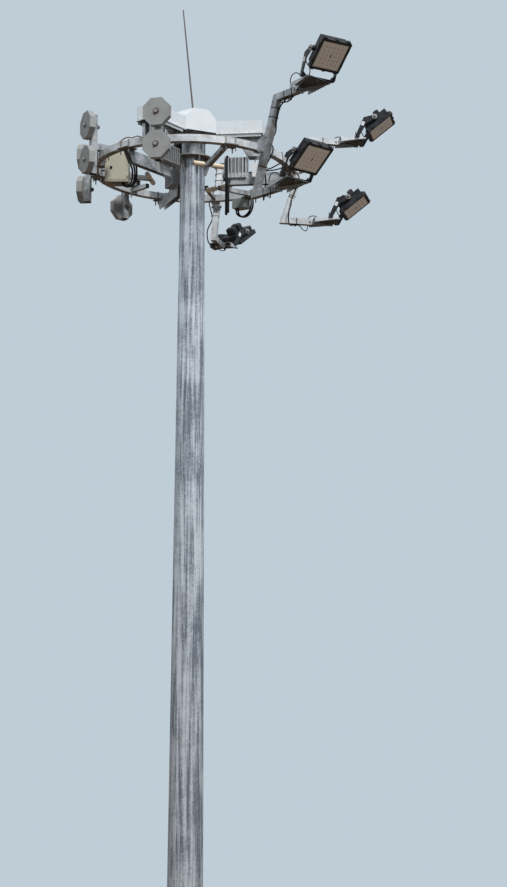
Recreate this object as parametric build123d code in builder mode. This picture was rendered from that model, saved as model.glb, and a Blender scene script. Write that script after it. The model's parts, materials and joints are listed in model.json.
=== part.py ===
from build123d import *
from math import cos, degrees, hypot, pi, radians, sin, sqrt
import os

# High mast floodlight tower with a ring carriage that is lowered on ropes.
# Millimetres. +Z is up, and the origin is the centre of the base flange's underside.
# Heights in the carriage and the head are measured from the middle of the ring's tube.

# Fits
SEAT_GAP = 0.3
AXLE_GAP = 0.1
BOSS_GAP = 0.4

# Mast: sixteen flats, three tapered shells slipped over one another
FLATS = 16
TAPER = 0.014
TOP_ACROSS_FLATS = 240.0
MAST_TOP_Z = 29262.0
UPPER_BOTTOM_Z = 19000.0
MIDDLE_BOTTOM_Z = 9000.0
UPPER_WALL = 5.0
MIDDLE_WALL = 6.0
LOWER_WALL = 8.0
UPPER_OVERLAP = 600.0
LOWER_OVERLAP = 800.0

# Base
FLANGE_DIAMETER = 940.0
FLANGE_THICKNESS = 32.0
FLANGE_HOLE_CIRCLE = 820.0
FLANGE_HOLE_DIAMETER = 39.0
FLANGE_BORE = 420.0
STIFFENER_THICKNESS = 12.0
STIFFENER_HEIGHT = 240.0
STIFFENER_TIP = 40.0
STIFFENER_SETBACK = 18.0

# Service door in the lower shell
DOOR_WIDTH = 230.0
DOOR_HEIGHT = 850.0
DOOR_CENTRE_Z = 1100.0
DOOR_PLATE = 5.0
DOOR_GAP = 2.0
FRAME_WALL = 25.0
FRAME_PROUD = 14.0
FRAME_DEPTH = 70.0
FRAME_LIP = 12.0

# Carriage ring, with straps and saddle plates at its six stations
RING_Z = 29150.0
RING_RADIUS = 965.0
TUBE = 66.0
TUBE_WALL = 4.0
FRONT_GUIDE_ANGLE = -66.5
ARM_COUNT = 3
STRAP_SPACING = 92.0
STRAP_WIDTH = 14.0
STRAP_THICKNESS = 5.0
SADDLE_LENGTH = 130.0
SADDLE_WIDTH = 140.0
SADDLE_PLATE = 8.0

# Head plate on the mast, with its gussets and the hood's support rods
HEAD_PLATE_DIAMETER = 400.0
HEAD_PLATE_THICKNESS = 12.0
HEAD_PLATE_BORE = 180.0
GUSSET_COUNT = 6
GUSSET_WIDTH = 90.0
GUSSET_HEIGHT = 165.0
GUSSET_THICKNESS = 10.0
GUSSET_FOOT = 12.0
HOOD_ROD_DIAMETER = 12.0
HOOD_ROD_INSET = 12.0

# Head arms: a hub tube and pairs of plates with a rope sheave in each pair
HUB_TUBE_DIAMETER = 220.0
HUB_TUBE_WALL = 8.0
HEAD_ARM_SPACING = 90.0
HEAD_ARM_PLATE = 10.0
HEAD_ARM_DEPTH = 110.0
HEAD_ARM_TIP_DEPTH = 73.0
HEAD_ARM_REACH = 690.0
SHEAVE_RADIUS = 70.0
SHEAVE_WIDTH = 34.0
SHEAVE_CENTRE = 560.0
SHEAVE_BORE = 12.0
SHEAVE_GROOVE = 9.0
SHEAVE_DROP = 20.0
ROPE_DIAMETER = 8.0

# Docking guides that hang from the arms' plates
DOCK_PLATE = 6.0
DOCK_INNER_REACH = 440.0
DOCK_FOOT_REACH = 560.0
DOCK_DROP = 298.0
DOCK_FLANGE = 34.0
DOCK_LAP = 24.0

# Sheet canopies over the arms and the hood over the hub
CANOPY_WIDTH = 230.0
CANOPY_HEIGHT = 140.0
CANOPY_REACH = 712.0
CANOPY_SHEET = 3.0
CANOPY_LIP = 12.0
CANOPY_CREST = 7.0
CANOPY_LIFT = 330.0
HOOD_LIFT = 343.0
HOOD_HEIGHT = 224.0
HOOD_REACH = 250.0
HOOD_FACE = 225.0
HOOD_BEVEL_RISE = 85.0
HOOD_BEVEL_RUN = 73.0

# Lightning rod
ROD_DIAMETER = 18.0
ROD_TIP_DIAMETER = 12.0
ROD_LENGTH = 1075.0
ROD_LEAN = 6.0
ROD_SOCKET_DIAMETER = 44.0
ROD_SOCKET_HEIGHT = 60.0

# Guide arms with pairs of rollers
GUIDE_TUBE = 44.0
GUIDE_AXLE_RADIUS = 430.0
GUIDE_AXLE_DROP = 62.0
ROLLER_DIAMETER = 48.0
ROLLER_LENGTH = 112.0
ROLLER_INNER = 42.0
AXLE_DIAMETER = 16.0
AXLE_END = 8.0

# Spokes: channels under the ring that carry a rope socket and a finned driver each
SPOKE_DEPTH = 115.0
SPOKE_WIDTH = 60.0
SPOKE_WALL = 5.0
SPOKE_INNER_RADIUS = 370.0
SPOKE_OVERHANG = 20.0
SPOKE_END_SLANT = 71.0
SOCKET_DIAMETER = 56.0
SOCKET_HEIGHT = 50.0
DRIVER_INNER_RADIUS = 320.0
DRIVER_LENGTH = 230.0
DRIVER_WIDTH = 130.0
DRIVER_SHIFT = 35.0
DRIVER_PLATE = 8.0
DRIVER_FIN_HEIGHT = 145.0
DRIVER_FIN_COUNT = 8
DRIVER_FIN_THICKNESS = 9.0
DRIVER_CORE_INSET = 28.0

# Light posts: one leaning post with two level arms, on a bracket outside the ring
POST_ANGLES = (-47.5, 12.5, 78.5)
POST_TUBE = 60.0
POST_WALL = 3.5
POST_TOP_HEIGHT = 413.0
POST_FOOT_HEIGHT = -443.0
POST_TOP_OUTSET = 258.0
POST_FOOT_INSET = 26.0
TOP_ARM_OUTSET = 547.0
LOW_ARM_OUTSET = 272.0
CLAMP_WIDTH = 92.0
CLAMP_HEIGHT = 96.0
CLAMP_PLATE = 10.0
CHEEK_PLATE = 8.0
CHEEK_HEIGHT = 200.0

# Lamp brackets, yokes and floodlights
BRACKET_PLATE = 6.0
BRACKET_LENGTH = 256.0
BRACKET_BACK_WIDTH = 96.0
BRACKET_FRONT_WIDTH = 286.0
BRACKET_SKIRT = 46.0
PAN_SETBACK = 230.0
PAN_BOLT_DIAMETER = 14.0
SLOT_RADIUS = 100.0
SLOT_WIDTH = 15.0
SLOT_HALF_ANGLE = 68.0
YOKE_SHEET = 8.0
YOKE_DEPTH = 42.0
PIVOT_HEIGHT = 193.0
PIVOT_REACH = 181.0
LEG_BEND_HEIGHT = 174.0
LEG_BEND_REACH = 78.0
LAMP_SIZE = 302.0
LAMP_CORNER = 10.0
LAMP_FRAME_DEPTH = 46.0
LAMP_BODY_INSET = 18.0
LAMP_BODY_DEPTH = 58.0
LAMP_FACE_OFFSET = 85.0
LAMP_FRAME_BORDER = 22.0
FIN_SLOT_COUNT = 9
FIN_SLOT_PITCH = 26.0
FIN_SLOT_WIDTH = 12.0
FIN_SLOT_DEPTH = 34.0
FIN_SLOT_MARGIN = 16.0
BACK_BLOCK_WIDTH = 118.0
BACK_BLOCK_LENGTH = 62.0
BACK_BLOCK_HEIGHT = 20.0
BACK_BLOCK_SPACING = 96.0
LENS_THICKNESS = 5.0
LENS_RECESS = 2.0
PIVOT_BOSS_DIAMETER = 46.0
PIVOT_BOSS_LENGTH = 12.0
PIVOT_BOLT_DIAMETER = 16.0
PIVOT_BOLT_END = 6.0
LAMP_TILT = -53.5

# Counterweights: octagonal plates in pairs on upright tubes, each tube on a stub over the ring
WEIGHT_ANGLES = (-104.0, -150.0, FRONT_GUIDE_ANGLE + 240.0, 135.0)
WEIGHT_LOW_HEIGHTS = (-101.0, -74.0, -159.0, -153.0)
WEIGHT_PITCHES = (303.0, 337.0, 330.0, 330.0)
WEIGHT_ACROSS_FLATS = 252.0
WEIGHT_SIDES = 8
WEIGHT_THICKNESS = 58.0
WEIGHT_POST_OUTSET = 103.0
WEIGHT_POST_BELOW = 128.0
WEIGHT_POST_ABOVE = 105.0
WEIGHT_STUB_INSET = 115.0
WEIGHT_BOLT_DIAMETER = 24.0
WEIGHT_BOLT_HEAD = 16.0

# Capped stub tubes inside the ring
CAPPED_STUB_ANGLES = (135.0, 78.5)
CAPPED_STUB_LENGTHS = (230.0, 370.0)
CAPPED_STUB_TUBE = 40.0
CAPPED_STUB_WALL = 3.0

# Boxes on the carriage
JUNCTION_INSET = 237.0
JUNCTION_Y = -200.0
JUNCTION_DROP = 50.0
JUNCTION_WIDTH = 228.0
JUNCTION_DEPTH = 165.0
JUNCTION_HEIGHT = 290.0
JUNCTION_CORNER = 8.0
JUNCTION_BRACKET_WIDTH = 90.0
JUNCTION_BRACKET_HEIGHT = 50.0
JUNCTION_BRACKET_PAST = 60.0
SPLICE_ANGLE = 60.5
SPLICE_WIDTH = 150.0
SPLICE_DEPTH = 120.0
SPLICE_HEIGHT = 96.0
SPLICE_DROP = 45.0
SPLICE_HANGER_WIDTH = 30.0
SPLICE_HANGER_THICKNESS = 6.0
SPLICE_HANGER_SPACING = 60.0
TERMINAL_REACH = 650.0
TERMINAL_WIDTH = 84.0
TERMINAL_DEPTH = 60.0
TERMINAL_HEIGHT = 144.0
TERMINAL_HEIGHT_MIDDLE = -31.0

os.makedirs("parts", exist_ok=True)

# Guide arms, and midway between them the head arms, ropes and spokes
STATION_TURN = 360 / ARM_COUNT
GUIDE_ANGLES = [FRONT_GUIDE_ANGLE + turn * STATION_TURN for turn in range(ARM_COUNT)]
HEAD_ANGLES = [angle + STATION_TURN / 2 for angle in GUIDE_ANGLES]
UP = Vector(0, 0, 1)


def direction(angle):
    """Unit vector outward from the mast at this angle."""
    return Vector(cos(radians(angle)), sin(radians(angle)), 0)


def at(angle, radius, height=0.0, side=0.0):
    """Point at a radius and a height above the ring's middle, moved sideways by side."""
    return direction(angle) * radius + direction(angle + 90) * side + Vector(0, 0, RING_Z + height)


def radial_plane(angle, side=0.0):
    """Upright plane along the radius: x is outward, y is up from the ring's middle."""
    return Plane(origin=at(angle, 0, 0, side), x_dir=direction(angle), z_dir=direction(angle - 90))


def across_plane(angle, radius, height=0.0, side=0.0):
    """Upright plane square to the radius, facing outward: x is sideways, y is up."""
    return Plane(origin=at(angle, radius, height, side), x_dir=direction(angle + 90), z_dir=direction(angle))


def level_plane(angle, radius, height):
    """Level plane facing up: x is outward, y is sideways."""
    return Plane(origin=at(angle, radius, height), x_dir=direction(angle), z_dir=UP)


def write(builder, name):
    """Label a finished piece and write its STEP file."""
    builder.part.label = name
    export_step(builder.part, "parts/" + name + ".step")


def upper_across(z):
    """Outside across flats of the upper shell at this height."""
    return TOP_ACROSS_FLATS + (MAST_TOP_Z - z) * TAPER


def middle_across(z):
    """Outside across flats of the middle shell, which fits inside the upper one."""
    return upper_across(z) - 2 * (UPPER_WALL + SEAT_GAP)


def lower_across(z):
    """Outside across flats of the lower shell, which fits inside the middle one."""
    return middle_across(z) - 2 * (MIDDLE_WALL + SEAT_GAP)


def flats_loft(across, bottom, top, mode=Mode.ADD):
    """Loft of the mast's polygon between two heights, with flats that face +X and -Y."""
    sections = []
    for z in (bottom, top):
        with BuildSketch(Plane.XY.offset(z)) as section:
            RegularPolygon(across(z) / 2, FLATS, major_radius=False, rotation=180 / FLATS)
        sections.append(section.sketch.face())
    loft(sections=sections, mode=mode)


def shell(across, wall, bottom, top):
    """Hollow tapered shell between two heights."""
    flats_loft(across, bottom, top)
    flats_loft(lambda z: across(z) - 2 * wall, bottom, top, Mode.SUBTRACT)


def bar(start, end, size, wall, side):
    """Hollow square bar from start to end, with one pair of faces square to side."""
    run = end - start
    with BuildSketch(Plane(origin=start, x_dir=side, z_dir=run)) as section:
        Rectangle(size, size)
        Rectangle(size - 2 * wall, size - 2 * wall, mode=Mode.SUBTRACT)
    extrude(section.sketch, amount=run.length)


# Base flange: ring plate with a circle of anchor bolt holes
with BuildPart() as base_flange:
    with BuildSketch():
        Circle(FLANGE_DIAMETER / 2)
        Circle(FLANGE_BORE / 2, mode=Mode.SUBTRACT)
        with PolarLocations(FLANGE_HOLE_CIRCLE / 2, FLATS, start_angle=180 / FLATS):
            Circle(FLANGE_HOLE_DIAMETER / 2, mode=Mode.SUBTRACT)
    extrude(amount=FLANGE_THICKNESS)
write(base_flange, "base_flange")

# Mast shells, the lower one with the door opening
door_plane = Plane(origin=(0, 0, DOOR_CENTRE_Z), x_dir=(1, 0, 0), z_dir=(0, -1, 0))
with BuildPart() as mast_lower:
    shell(lower_across, LOWER_WALL, FLANGE_THICKNESS, MIDDLE_BOTTOM_Z + LOWER_OVERLAP)
    with BuildSketch(door_plane):
        SlotOverall(DOOR_HEIGHT + 2 * FRAME_WALL, DOOR_WIDTH + 2 * FRAME_WALL, rotation=90)
    extrude(amount=FLANGE_DIAMETER, mode=Mode.SUBTRACT)
write(mast_lower, "mast_lower")

with BuildPart() as mast_middle:
    shell(middle_across, MIDDLE_WALL, MIDDLE_BOTTOM_Z, UPPER_BOTTOM_Z + UPPER_OVERLAP)
write(mast_middle, "mast_middle")

with BuildPart() as mast_upper:
    shell(upper_across, UPPER_WALL, UPPER_BOTTOM_Z, MAST_TOP_Z)
write(mast_upper, "mast_upper")

# Stiffeners between the flange and the lower shell, one on each flat
foot_radius = lower_across(FLANGE_THICKNESS) / 2 + SEAT_GAP
crown_radius = lower_across(FLANGE_THICKNESS + STIFFENER_HEIGHT) / 2 + SEAT_GAP
rim_radius = FLANGE_DIAMETER / 2 - STIFFENER_SETBACK
stiffener_top = FLANGE_THICKNESS + STIFFENER_HEIGHT
with BuildPart() as base_stiffeners:
    for turn in range(FLATS):
        angle = turn * 360 / FLATS
        plate_origin = direction(angle + 90) * (STIFFENER_THICKNESS / 2)
        with BuildSketch(Plane(origin=plate_origin, x_dir=direction(angle), z_dir=direction(angle - 90))):
            with BuildLine():
                Polyline((foot_radius, FLANGE_THICKNESS), (rim_radius, FLANGE_THICKNESS),
                         (rim_radius, FLANGE_THICKNESS + STIFFENER_TIP),
                         (crown_radius + STIFFENER_TIP, stiffener_top), (crown_radius, stiffener_top),
                         close=True)
            make_face()
        extrude(amount=STIFFENER_THICKNESS)
write(base_stiffeners, "base_stiffeners")

# Door frame through the wall, and the closed door on its lip
door_face = lower_across(DOOR_CENTRE_Z - DOOR_HEIGHT / 2) / 2 + FRAME_PROUD
lip_face = door_face - DOOR_PLATE - SEAT_GAP
frame_length = DOOR_HEIGHT + 2 * FRAME_WALL - 2 * SEAT_GAP
frame_width = DOOR_WIDTH + 2 * FRAME_WALL - 2 * SEAT_GAP
with BuildPart() as door_frame:
    with BuildSketch(door_plane.offset(door_face)):
        SlotOverall(frame_length, frame_width, rotation=90)
        SlotOverall(DOOR_HEIGHT, DOOR_WIDTH, rotation=90, mode=Mode.SUBTRACT)
    extrude(amount=-FRAME_DEPTH)
    with BuildSketch(door_plane.offset(lip_face)):
        SlotOverall(DOOR_HEIGHT, DOOR_WIDTH, rotation=90)
        SlotOverall(DOOR_HEIGHT - 2 * FRAME_LIP, DOOR_WIDTH - 2 * FRAME_LIP, rotation=90, mode=Mode.SUBTRACT)
    extrude(amount=-FRAME_LIP)
write(door_frame, "door_frame")

with BuildPart() as mast_door:
    with BuildSketch(door_plane.offset(door_face)):
        SlotOverall(DOOR_HEIGHT - 2 * DOOR_GAP, DOOR_WIDTH - 2 * DOOR_GAP, rotation=90)
    extrude(amount=-DOOR_PLATE)
write(mast_door, "mast_door")

# Head plate on the mast's top with gussets below and the hood's support rods above
head_plate_top = MAST_TOP_Z + HEAD_PLATE_THICKNESS
hood_bottom = RING_Z + HOOD_LIFT
hood_top = hood_bottom + HOOD_HEIGHT
wall_radius = upper_across(MAST_TOP_Z - GUSSET_HEIGHT) / 2 / cos(pi / FLATS) + SEAT_GAP
hood_rod_radius = HEAD_PLATE_DIAMETER / 2 - HOOD_ROD_INSET
with BuildPart() as head_plate:
    with BuildSketch(Plane.XY.offset(MAST_TOP_Z)):
        Circle(HEAD_PLATE_DIAMETER / 2)
        Circle(HEAD_PLATE_BORE / 2, mode=Mode.SUBTRACT)
    extrude(amount=HEAD_PLATE_THICKNESS)
    for turn in range(GUSSET_COUNT):
        angle = FRONT_GUIDE_ANGLE + turn * 360 / GUSSET_COUNT
        gusset_origin = direction(angle + 90) * (GUSSET_THICKNESS / 2) + UP * MAST_TOP_Z
        with BuildSketch(Plane(origin=gusset_origin, x_dir=direction(angle), z_dir=direction(angle - 90))):
            with BuildLine():
                Polyline((wall_radius, 0), (HEAD_PLATE_DIAMETER / 2, 0),
                         (wall_radius + GUSSET_FOOT, -GUSSET_HEIGHT), (wall_radius, -GUSSET_HEIGHT),
                         close=True)
            make_face()
        extrude(amount=GUSSET_THICKNESS)
    with BuildSketch(Plane.XY.offset(head_plate_top)):
        with PolarLocations(hood_rod_radius, ARM_COUNT, start_angle=FRONT_GUIDE_ANGLE):
            Circle(HOOD_ROD_DIAMETER / 2)
    extrude(amount=hood_top - CANOPY_SHEET - SEAT_GAP - head_plate_top)
write(head_plate, "head_plate")

# Hub tube and three arms made of two plates each, which carry the rope sheaves
canopy_bottom = RING_Z + CANOPY_LIFT
canopy_slope = CANOPY_CREST / (CANOPY_WIDTH / 2 - CANOPY_SHEET)
arm_half = HEAD_ARM_SPACING / 2 + HEAD_ARM_PLATE
arm_top = CANOPY_LIFT + CANOPY_HEIGHT - CANOPY_SHEET - SEAT_GAP - canopy_slope * arm_half
arm_tip_bottom = arm_top - HEAD_ARM_TIP_DEPTH
sheave_height = arm_top - HEAD_ARM_DEPTH / 2 - SHEAVE_DROP
arm_root = sqrt((HUB_TUBE_DIAMETER / 2) ** 2 - arm_half ** 2) - HUB_TUBE_WALL / 2
with BuildPart() as head_arms:
    with BuildSketch(Plane.XY.offset(head_plate_top)):
        Circle(HUB_TUBE_DIAMETER / 2)
        Circle(HUB_TUBE_DIAMETER / 2 - HUB_TUBE_WALL, mode=Mode.SUBTRACT)
    extrude(amount=RING_Z + arm_top - head_plate_top)
    for angle in HEAD_ANGLES:
        for side in (-1, 1):
            with BuildSketch(radial_plane(angle, side * HEAD_ARM_SPACING / 2)):
                with BuildLine():
                    Polyline((arm_root, arm_top - HEAD_ARM_DEPTH), (HEAD_ARM_REACH, arm_tip_bottom),
                             (HEAD_ARM_REACH, arm_top), (arm_root, arm_top), close=True)
                make_face()
            extrude(amount=-side * HEAD_ARM_PLATE)
        with BuildSketch(radial_plane(angle, HEAD_ARM_SPACING / 2)):
            with Locations((SHEAVE_CENTRE, sheave_height)):
                Circle(SHEAVE_BORE - AXLE_GAP)
        extrude(amount=HEAD_ARM_SPACING)
write(head_arms, "head_arms")

# Grooved sheaves on the pins in the arms
with BuildPart() as sheaves:
    for angle in HEAD_ANGLES:
        centre = at(angle, SHEAVE_CENTRE, sheave_height)
        with BuildSketch(Plane(origin=centre, x_dir=(0, 0, 1), z_dir=direction(angle))):
            with BuildLine():
                Polyline((SHEAVE_BORE, -SHEAVE_WIDTH / 2), (SHEAVE_RADIUS, -SHEAVE_WIDTH / 2),
                         (SHEAVE_RADIUS, -SHEAVE_GROOVE), (SHEAVE_RADIUS - SHEAVE_GROOVE, 0),
                         (SHEAVE_RADIUS, SHEAVE_GROOVE), (SHEAVE_RADIUS, SHEAVE_WIDTH / 2),
                         (SHEAVE_BORE, SHEAVE_WIDTH / 2), close=True)
            make_face()
        revolve(axis=Axis(centre, direction(angle + 90)))
write(sheaves, "sheaves")

# Docking guides: cheek plates outside each arm, flanged inward at their outer ends
dock_top = arm_tip_bottom + DOCK_LAP
dock_bottom = dock_top - DOCK_DROP
flange_top = arm_tip_bottom - 2 * SEAT_GAP
with BuildPart() as docking_guides:
    for angle in HEAD_ANGLES:
        for side in (-1, 1):
            inner_side = side * (arm_half + SEAT_GAP)
            with BuildSketch(radial_plane(angle, inner_side)):
                with BuildLine():
                    Polyline((DOCK_INNER_REACH, dock_top), (HEAD_ARM_REACH, dock_top),
                             (HEAD_ARM_REACH, dock_bottom), (DOCK_FOOT_REACH, dock_bottom),
                             (DOCK_INNER_REACH, CANOPY_LIFT), close=True)
                make_face()
            extrude(amount=-side * DOCK_PLATE)
            flange_middle = side * (arm_half + SEAT_GAP + DOCK_PLATE - DOCK_FLANGE / 2)
            with BuildSketch(across_plane(angle, HEAD_ARM_REACH, flange_top, flange_middle)):
                Rectangle(DOCK_FLANGE, flange_top - dock_bottom, align=(Align.CENTER, Align.MAX))
            extrude(amount=-DOCK_PLATE)
write(docking_guides, "docking_guides")

# Sheet canopies over the arms: a trough turned over, with a lip and a closed end
half = CANOPY_WIDTH / 2
eaves = CANOPY_HEIGHT - CANOPY_CREST
with BuildPart() as canopy_arms:
    for angle in HEAD_ANGLES:
        with BuildSketch(across_plane(angle, HOOD_REACH, CANOPY_LIFT)):
            with BuildLine():
                Polyline((-half, 0), (-half, eaves), (0, CANOPY_HEIGHT), (half, eaves), (half, 0),
                         (half + CANOPY_LIP, 0), (half + CANOPY_LIP, -CANOPY_SHEET),
                         (half - CANOPY_SHEET, -CANOPY_SHEET), (half - CANOPY_SHEET, eaves - CANOPY_SHEET),
                         (0, CANOPY_HEIGHT - CANOPY_SHEET), (-half + CANOPY_SHEET, eaves - CANOPY_SHEET),
                         (-half + CANOPY_SHEET, -CANOPY_SHEET), (-half - CANOPY_LIP, -CANOPY_SHEET),
                         (-half - CANOPY_LIP, 0), close=True)
            make_face()
        extrude(amount=CANOPY_REACH - HOOD_REACH)
        with BuildSketch(across_plane(angle, CANOPY_REACH, CANOPY_LIFT)):
            with BuildLine():
                Polyline((-half, -CANOPY_SHEET), (-half, eaves), (0, CANOPY_HEIGHT), (half, eaves),
                         (half, -CANOPY_SHEET), close=True)
            make_face()
        extrude(amount=-CANOPY_SHEET)
write(canopy_arms, "canopy_arms")


def hood_outline(reach, face):
    """Six-sided outline with sides at reach over the arms and at face between them."""
    half_width = (face - reach / 2) / cos(radians(30))
    points = []
    for angle in HEAD_ANGLES:
        for side in (-1, 1):
            corner = direction(angle) * reach + direction(angle + 90) * (side * half_width)
            points.append((corner.X, corner.Y))
    return points


# Hood over the hub: upright faces between the arms and bevels above the canopies
with BuildPart() as canopy_hub:
    for inset, mode in ((0.0, Mode.ADD), (CANOPY_SHEET, Mode.SUBTRACT)):
        lower_outline = hood_outline(HOOD_REACH - SEAT_GAP - inset, HOOD_FACE - inset)
        upper_outline = hood_outline(HOOD_REACH - HOOD_BEVEL_RUN - inset, HOOD_FACE - inset)
        with BuildSketch(Plane.XY.offset(hood_bottom)):
            Polygon(*lower_outline, align=None)
        extrude(amount=HOOD_HEIGHT - HOOD_BEVEL_RISE - inset, mode=mode)
        for z, outline in ((hood_top - HOOD_BEVEL_RISE, lower_outline), (hood_top, upper_outline)):
            with BuildSketch(Plane.XY.offset(z - inset)):
                Polygon(*outline, align=None)
        loft(mode=mode)
    for angle in HEAD_ANGLES:
        with BuildSketch(across_plane(angle, HOOD_REACH / 2, HOOD_LIFT)):
            Rectangle(2 * (arm_half + SEAT_GAP), arm_top + SEAT_GAP - HOOD_LIFT,
                      align=(Align.CENTER, Align.MIN))
        extrude(amount=HOOD_REACH, mode=Mode.SUBTRACT)
write(canopy_hub, "canopy_hub")

# Lightning rod, leaning in its socket
rod_foot = hood_top + ROD_SOCKET_HEIGHT / 2
rod_axis = Plane(origin=(0, 0, rod_foot), z_dir=(-sin(radians(ROD_LEAN)), 0, cos(radians(ROD_LEAN))))
with BuildPart() as lightning_rod:
    with BuildSketch(Plane.XY.offset(hood_top)):
        Circle(ROD_SOCKET_DIAMETER / 2)
    extrude(amount=ROD_SOCKET_HEIGHT)
    with Locations(rod_axis):
        Cone(ROD_DIAMETER / 2, ROD_TIP_DIAMETER / 2, ROD_LENGTH,
             align=(Align.CENTER, Align.CENTER, Align.MIN))
write(lightning_rod, "lightning_rod")

# Carriage ring: one closed ring of square tube
with BuildPart() as carriage_ring:
    with BuildSketch(radial_plane(FRONT_GUIDE_ANGLE)):
        with Locations((RING_RADIUS, 0)):
            Rectangle(TUBE, TUBE)
            Rectangle(TUBE - 2 * TUBE_WALL, TUBE - 2 * TUBE_WALL, mode=Mode.SUBTRACT)
    revolve(axis=Axis.Z)
write(carriage_ring, "carriage_ring")

# Ring clamps: a saddle plate under the ring with two straps over it, at each station
ring_inner = RING_RADIUS - TUBE / 2
ring_outer = RING_RADIUS + TUBE / 2
saddle_top = -TUBE / 2 - SEAT_GAP
strap_top = TUBE / 2 + SEAT_GAP + STRAP_THICKNESS
strap_half_angle = degrees(STRAP_SPACING / 2 / RING_RADIUS)
strap_outer = TUBE + 2 * (SEAT_GAP + STRAP_THICKNESS)
with BuildPart() as ring_clamps:
    for angle in GUIDE_ANGLES + HEAD_ANGLES:
        with BuildSketch(level_plane(angle, RING_RADIUS, saddle_top)):
            Rectangle(SADDLE_LENGTH, SADDLE_WIDTH)
        extrude(amount=-SADDLE_PLATE)
        for turn in (-strap_half_angle, strap_half_angle):
            with BuildSketch(radial_plane(angle + turn)):
                with Locations((RING_RADIUS, saddle_top)):
                    Rectangle(strap_outer, strap_top - saddle_top, align=(Align.CENTER, Align.MIN))
                with Locations((RING_RADIUS, 0)):
                    Rectangle(TUBE + 2 * SEAT_GAP, TUBE + 2 * SEAT_GAP, mode=Mode.SUBTRACT)
            extrude(amount=STRAP_WIDTH / 2, both=True)
write(ring_clamps, "ring_clamps")

# Guide arms inside the ring, each with an axle for two rollers
roller_span = ROLLER_INNER + ROLLER_LENGTH
axle_half = roller_span + AXLE_END
with BuildPart() as guide_arms:
    for angle in GUIDE_ANGLES:
        axle_middle = at(angle, GUIDE_AXLE_RADIUS, -GUIDE_AXLE_DROP)
        bar(at(angle, RING_RADIUS), axle_middle, GUIDE_TUBE, TUBE_WALL, direction(angle + 90))
        with BuildSketch(Plane(origin=axle_middle, z_dir=direction(angle + 90))):
            Circle(AXLE_DIAMETER / 2)
        extrude(amount=axle_half, both=True)
    with BuildSketch(Plane.XY.offset(RING_Z - TUBE)):
        Circle(ring_outer)
        Circle(ring_inner - SEAT_GAP, mode=Mode.SUBTRACT)
    extrude(amount=2 * TUBE, mode=Mode.SUBTRACT)
write(guide_arms, "guide_arms")

for number, angle in enumerate(GUIDE_ANGLES, start=1):
    with BuildPart() as rollers:
        for side in (-1, 1):
            roller_start = at(angle, GUIDE_AXLE_RADIUS, -GUIDE_AXLE_DROP, side * ROLLER_INNER)
            with BuildSketch(Plane(origin=roller_start, z_dir=direction(angle + 90) * side)):
                Circle(ROLLER_DIAMETER / 2)
                Circle(AXLE_DIAMETER / 2 + AXLE_GAP, mode=Mode.SUBTRACT)
            extrude(amount=ROLLER_LENGTH)
    write(rollers, "guide_rollers_" + str(number))

# Spokes: inverted channels under the ring, each with a rope socket on top
spoke_top = saddle_top - SADDLE_PLATE - SEAT_GAP
spoke_end = RING_RADIUS + SPOKE_OVERHANG
rope_radius = SHEAVE_CENTRE + SHEAVE_RADIUS - SHEAVE_GROOVE + ROPE_DIAMETER / sqrt(2) + SEAT_GAP
with BuildPart() as ring_spokes:
    for angle in HEAD_ANGLES:
        for wall, mode in ((0.0, Mode.ADD), (SPOKE_WALL, Mode.SUBTRACT)):
            with BuildSketch(radial_plane(angle)):
                with BuildLine():
                    Polyline((SPOKE_INNER_RADIUS, spoke_top - wall), (spoke_end, spoke_top - wall),
                             (spoke_end, spoke_top - 2 * SPOKE_WALL),
                             (spoke_end - SPOKE_END_SLANT, spoke_top - SPOKE_DEPTH),
                             (SPOKE_INNER_RADIUS, spoke_top - SPOKE_DEPTH), close=True)
                make_face()
            extrude(amount=SPOKE_WIDTH / 2 - wall, both=True, mode=mode)
        with BuildSketch(level_plane(angle, rope_radius, spoke_top)):
            Circle(SOCKET_DIAMETER / 2)
        extrude(amount=SOCKET_HEIGHT)
write(ring_spokes, "ring_spokes")

# Ropes from the sheaves straight down to the sockets
with BuildPart() as hoist_ropes:
    for angle in HEAD_ANGLES:
        rope_foot = spoke_top + SOCKET_HEIGHT + SEAT_GAP
        with BuildSketch(level_plane(angle, rope_radius, rope_foot)):
            Circle(ROPE_DIAMETER / 2)
        extrude(amount=sheave_height - rope_foot)
write(hoist_ropes, "hoist_ropes")

# Finned drivers on the spokes' inner ends: base plate, core, cross fins and a cover plate
driver_middle = DRIVER_INNER_RADIUS + DRIVER_LENGTH / 2
fin_pitch = (DRIVER_LENGTH - DRIVER_FIN_THICKNESS) / (DRIVER_FIN_COUNT - 1)
fin_base = spoke_top + SEAT_GAP + DRIVER_PLATE
with BuildPart() as drivers:
    for angle in HEAD_ANGLES:
        for height in (fin_base - DRIVER_PLATE, fin_base + DRIVER_FIN_HEIGHT):
            with BuildSketch(level_plane(angle, driver_middle, height)):
                with Locations((0, DRIVER_SHIFT)):
                    Rectangle(DRIVER_LENGTH, DRIVER_WIDTH)
            extrude(amount=DRIVER_PLATE)
        with BuildSketch(level_plane(angle, driver_middle, fin_base)):
            with Locations((0, DRIVER_SHIFT)):
                Rectangle(DRIVER_LENGTH, DRIVER_WIDTH - 2 * DRIVER_CORE_INSET)
                with GridLocations(fin_pitch, 0, DRIVER_FIN_COUNT, 1):
                    Rectangle(DRIVER_FIN_THICKNESS, DRIVER_WIDTH)
        extrude(amount=DRIVER_FIN_HEIGHT)
write(drivers, "drivers")

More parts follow.
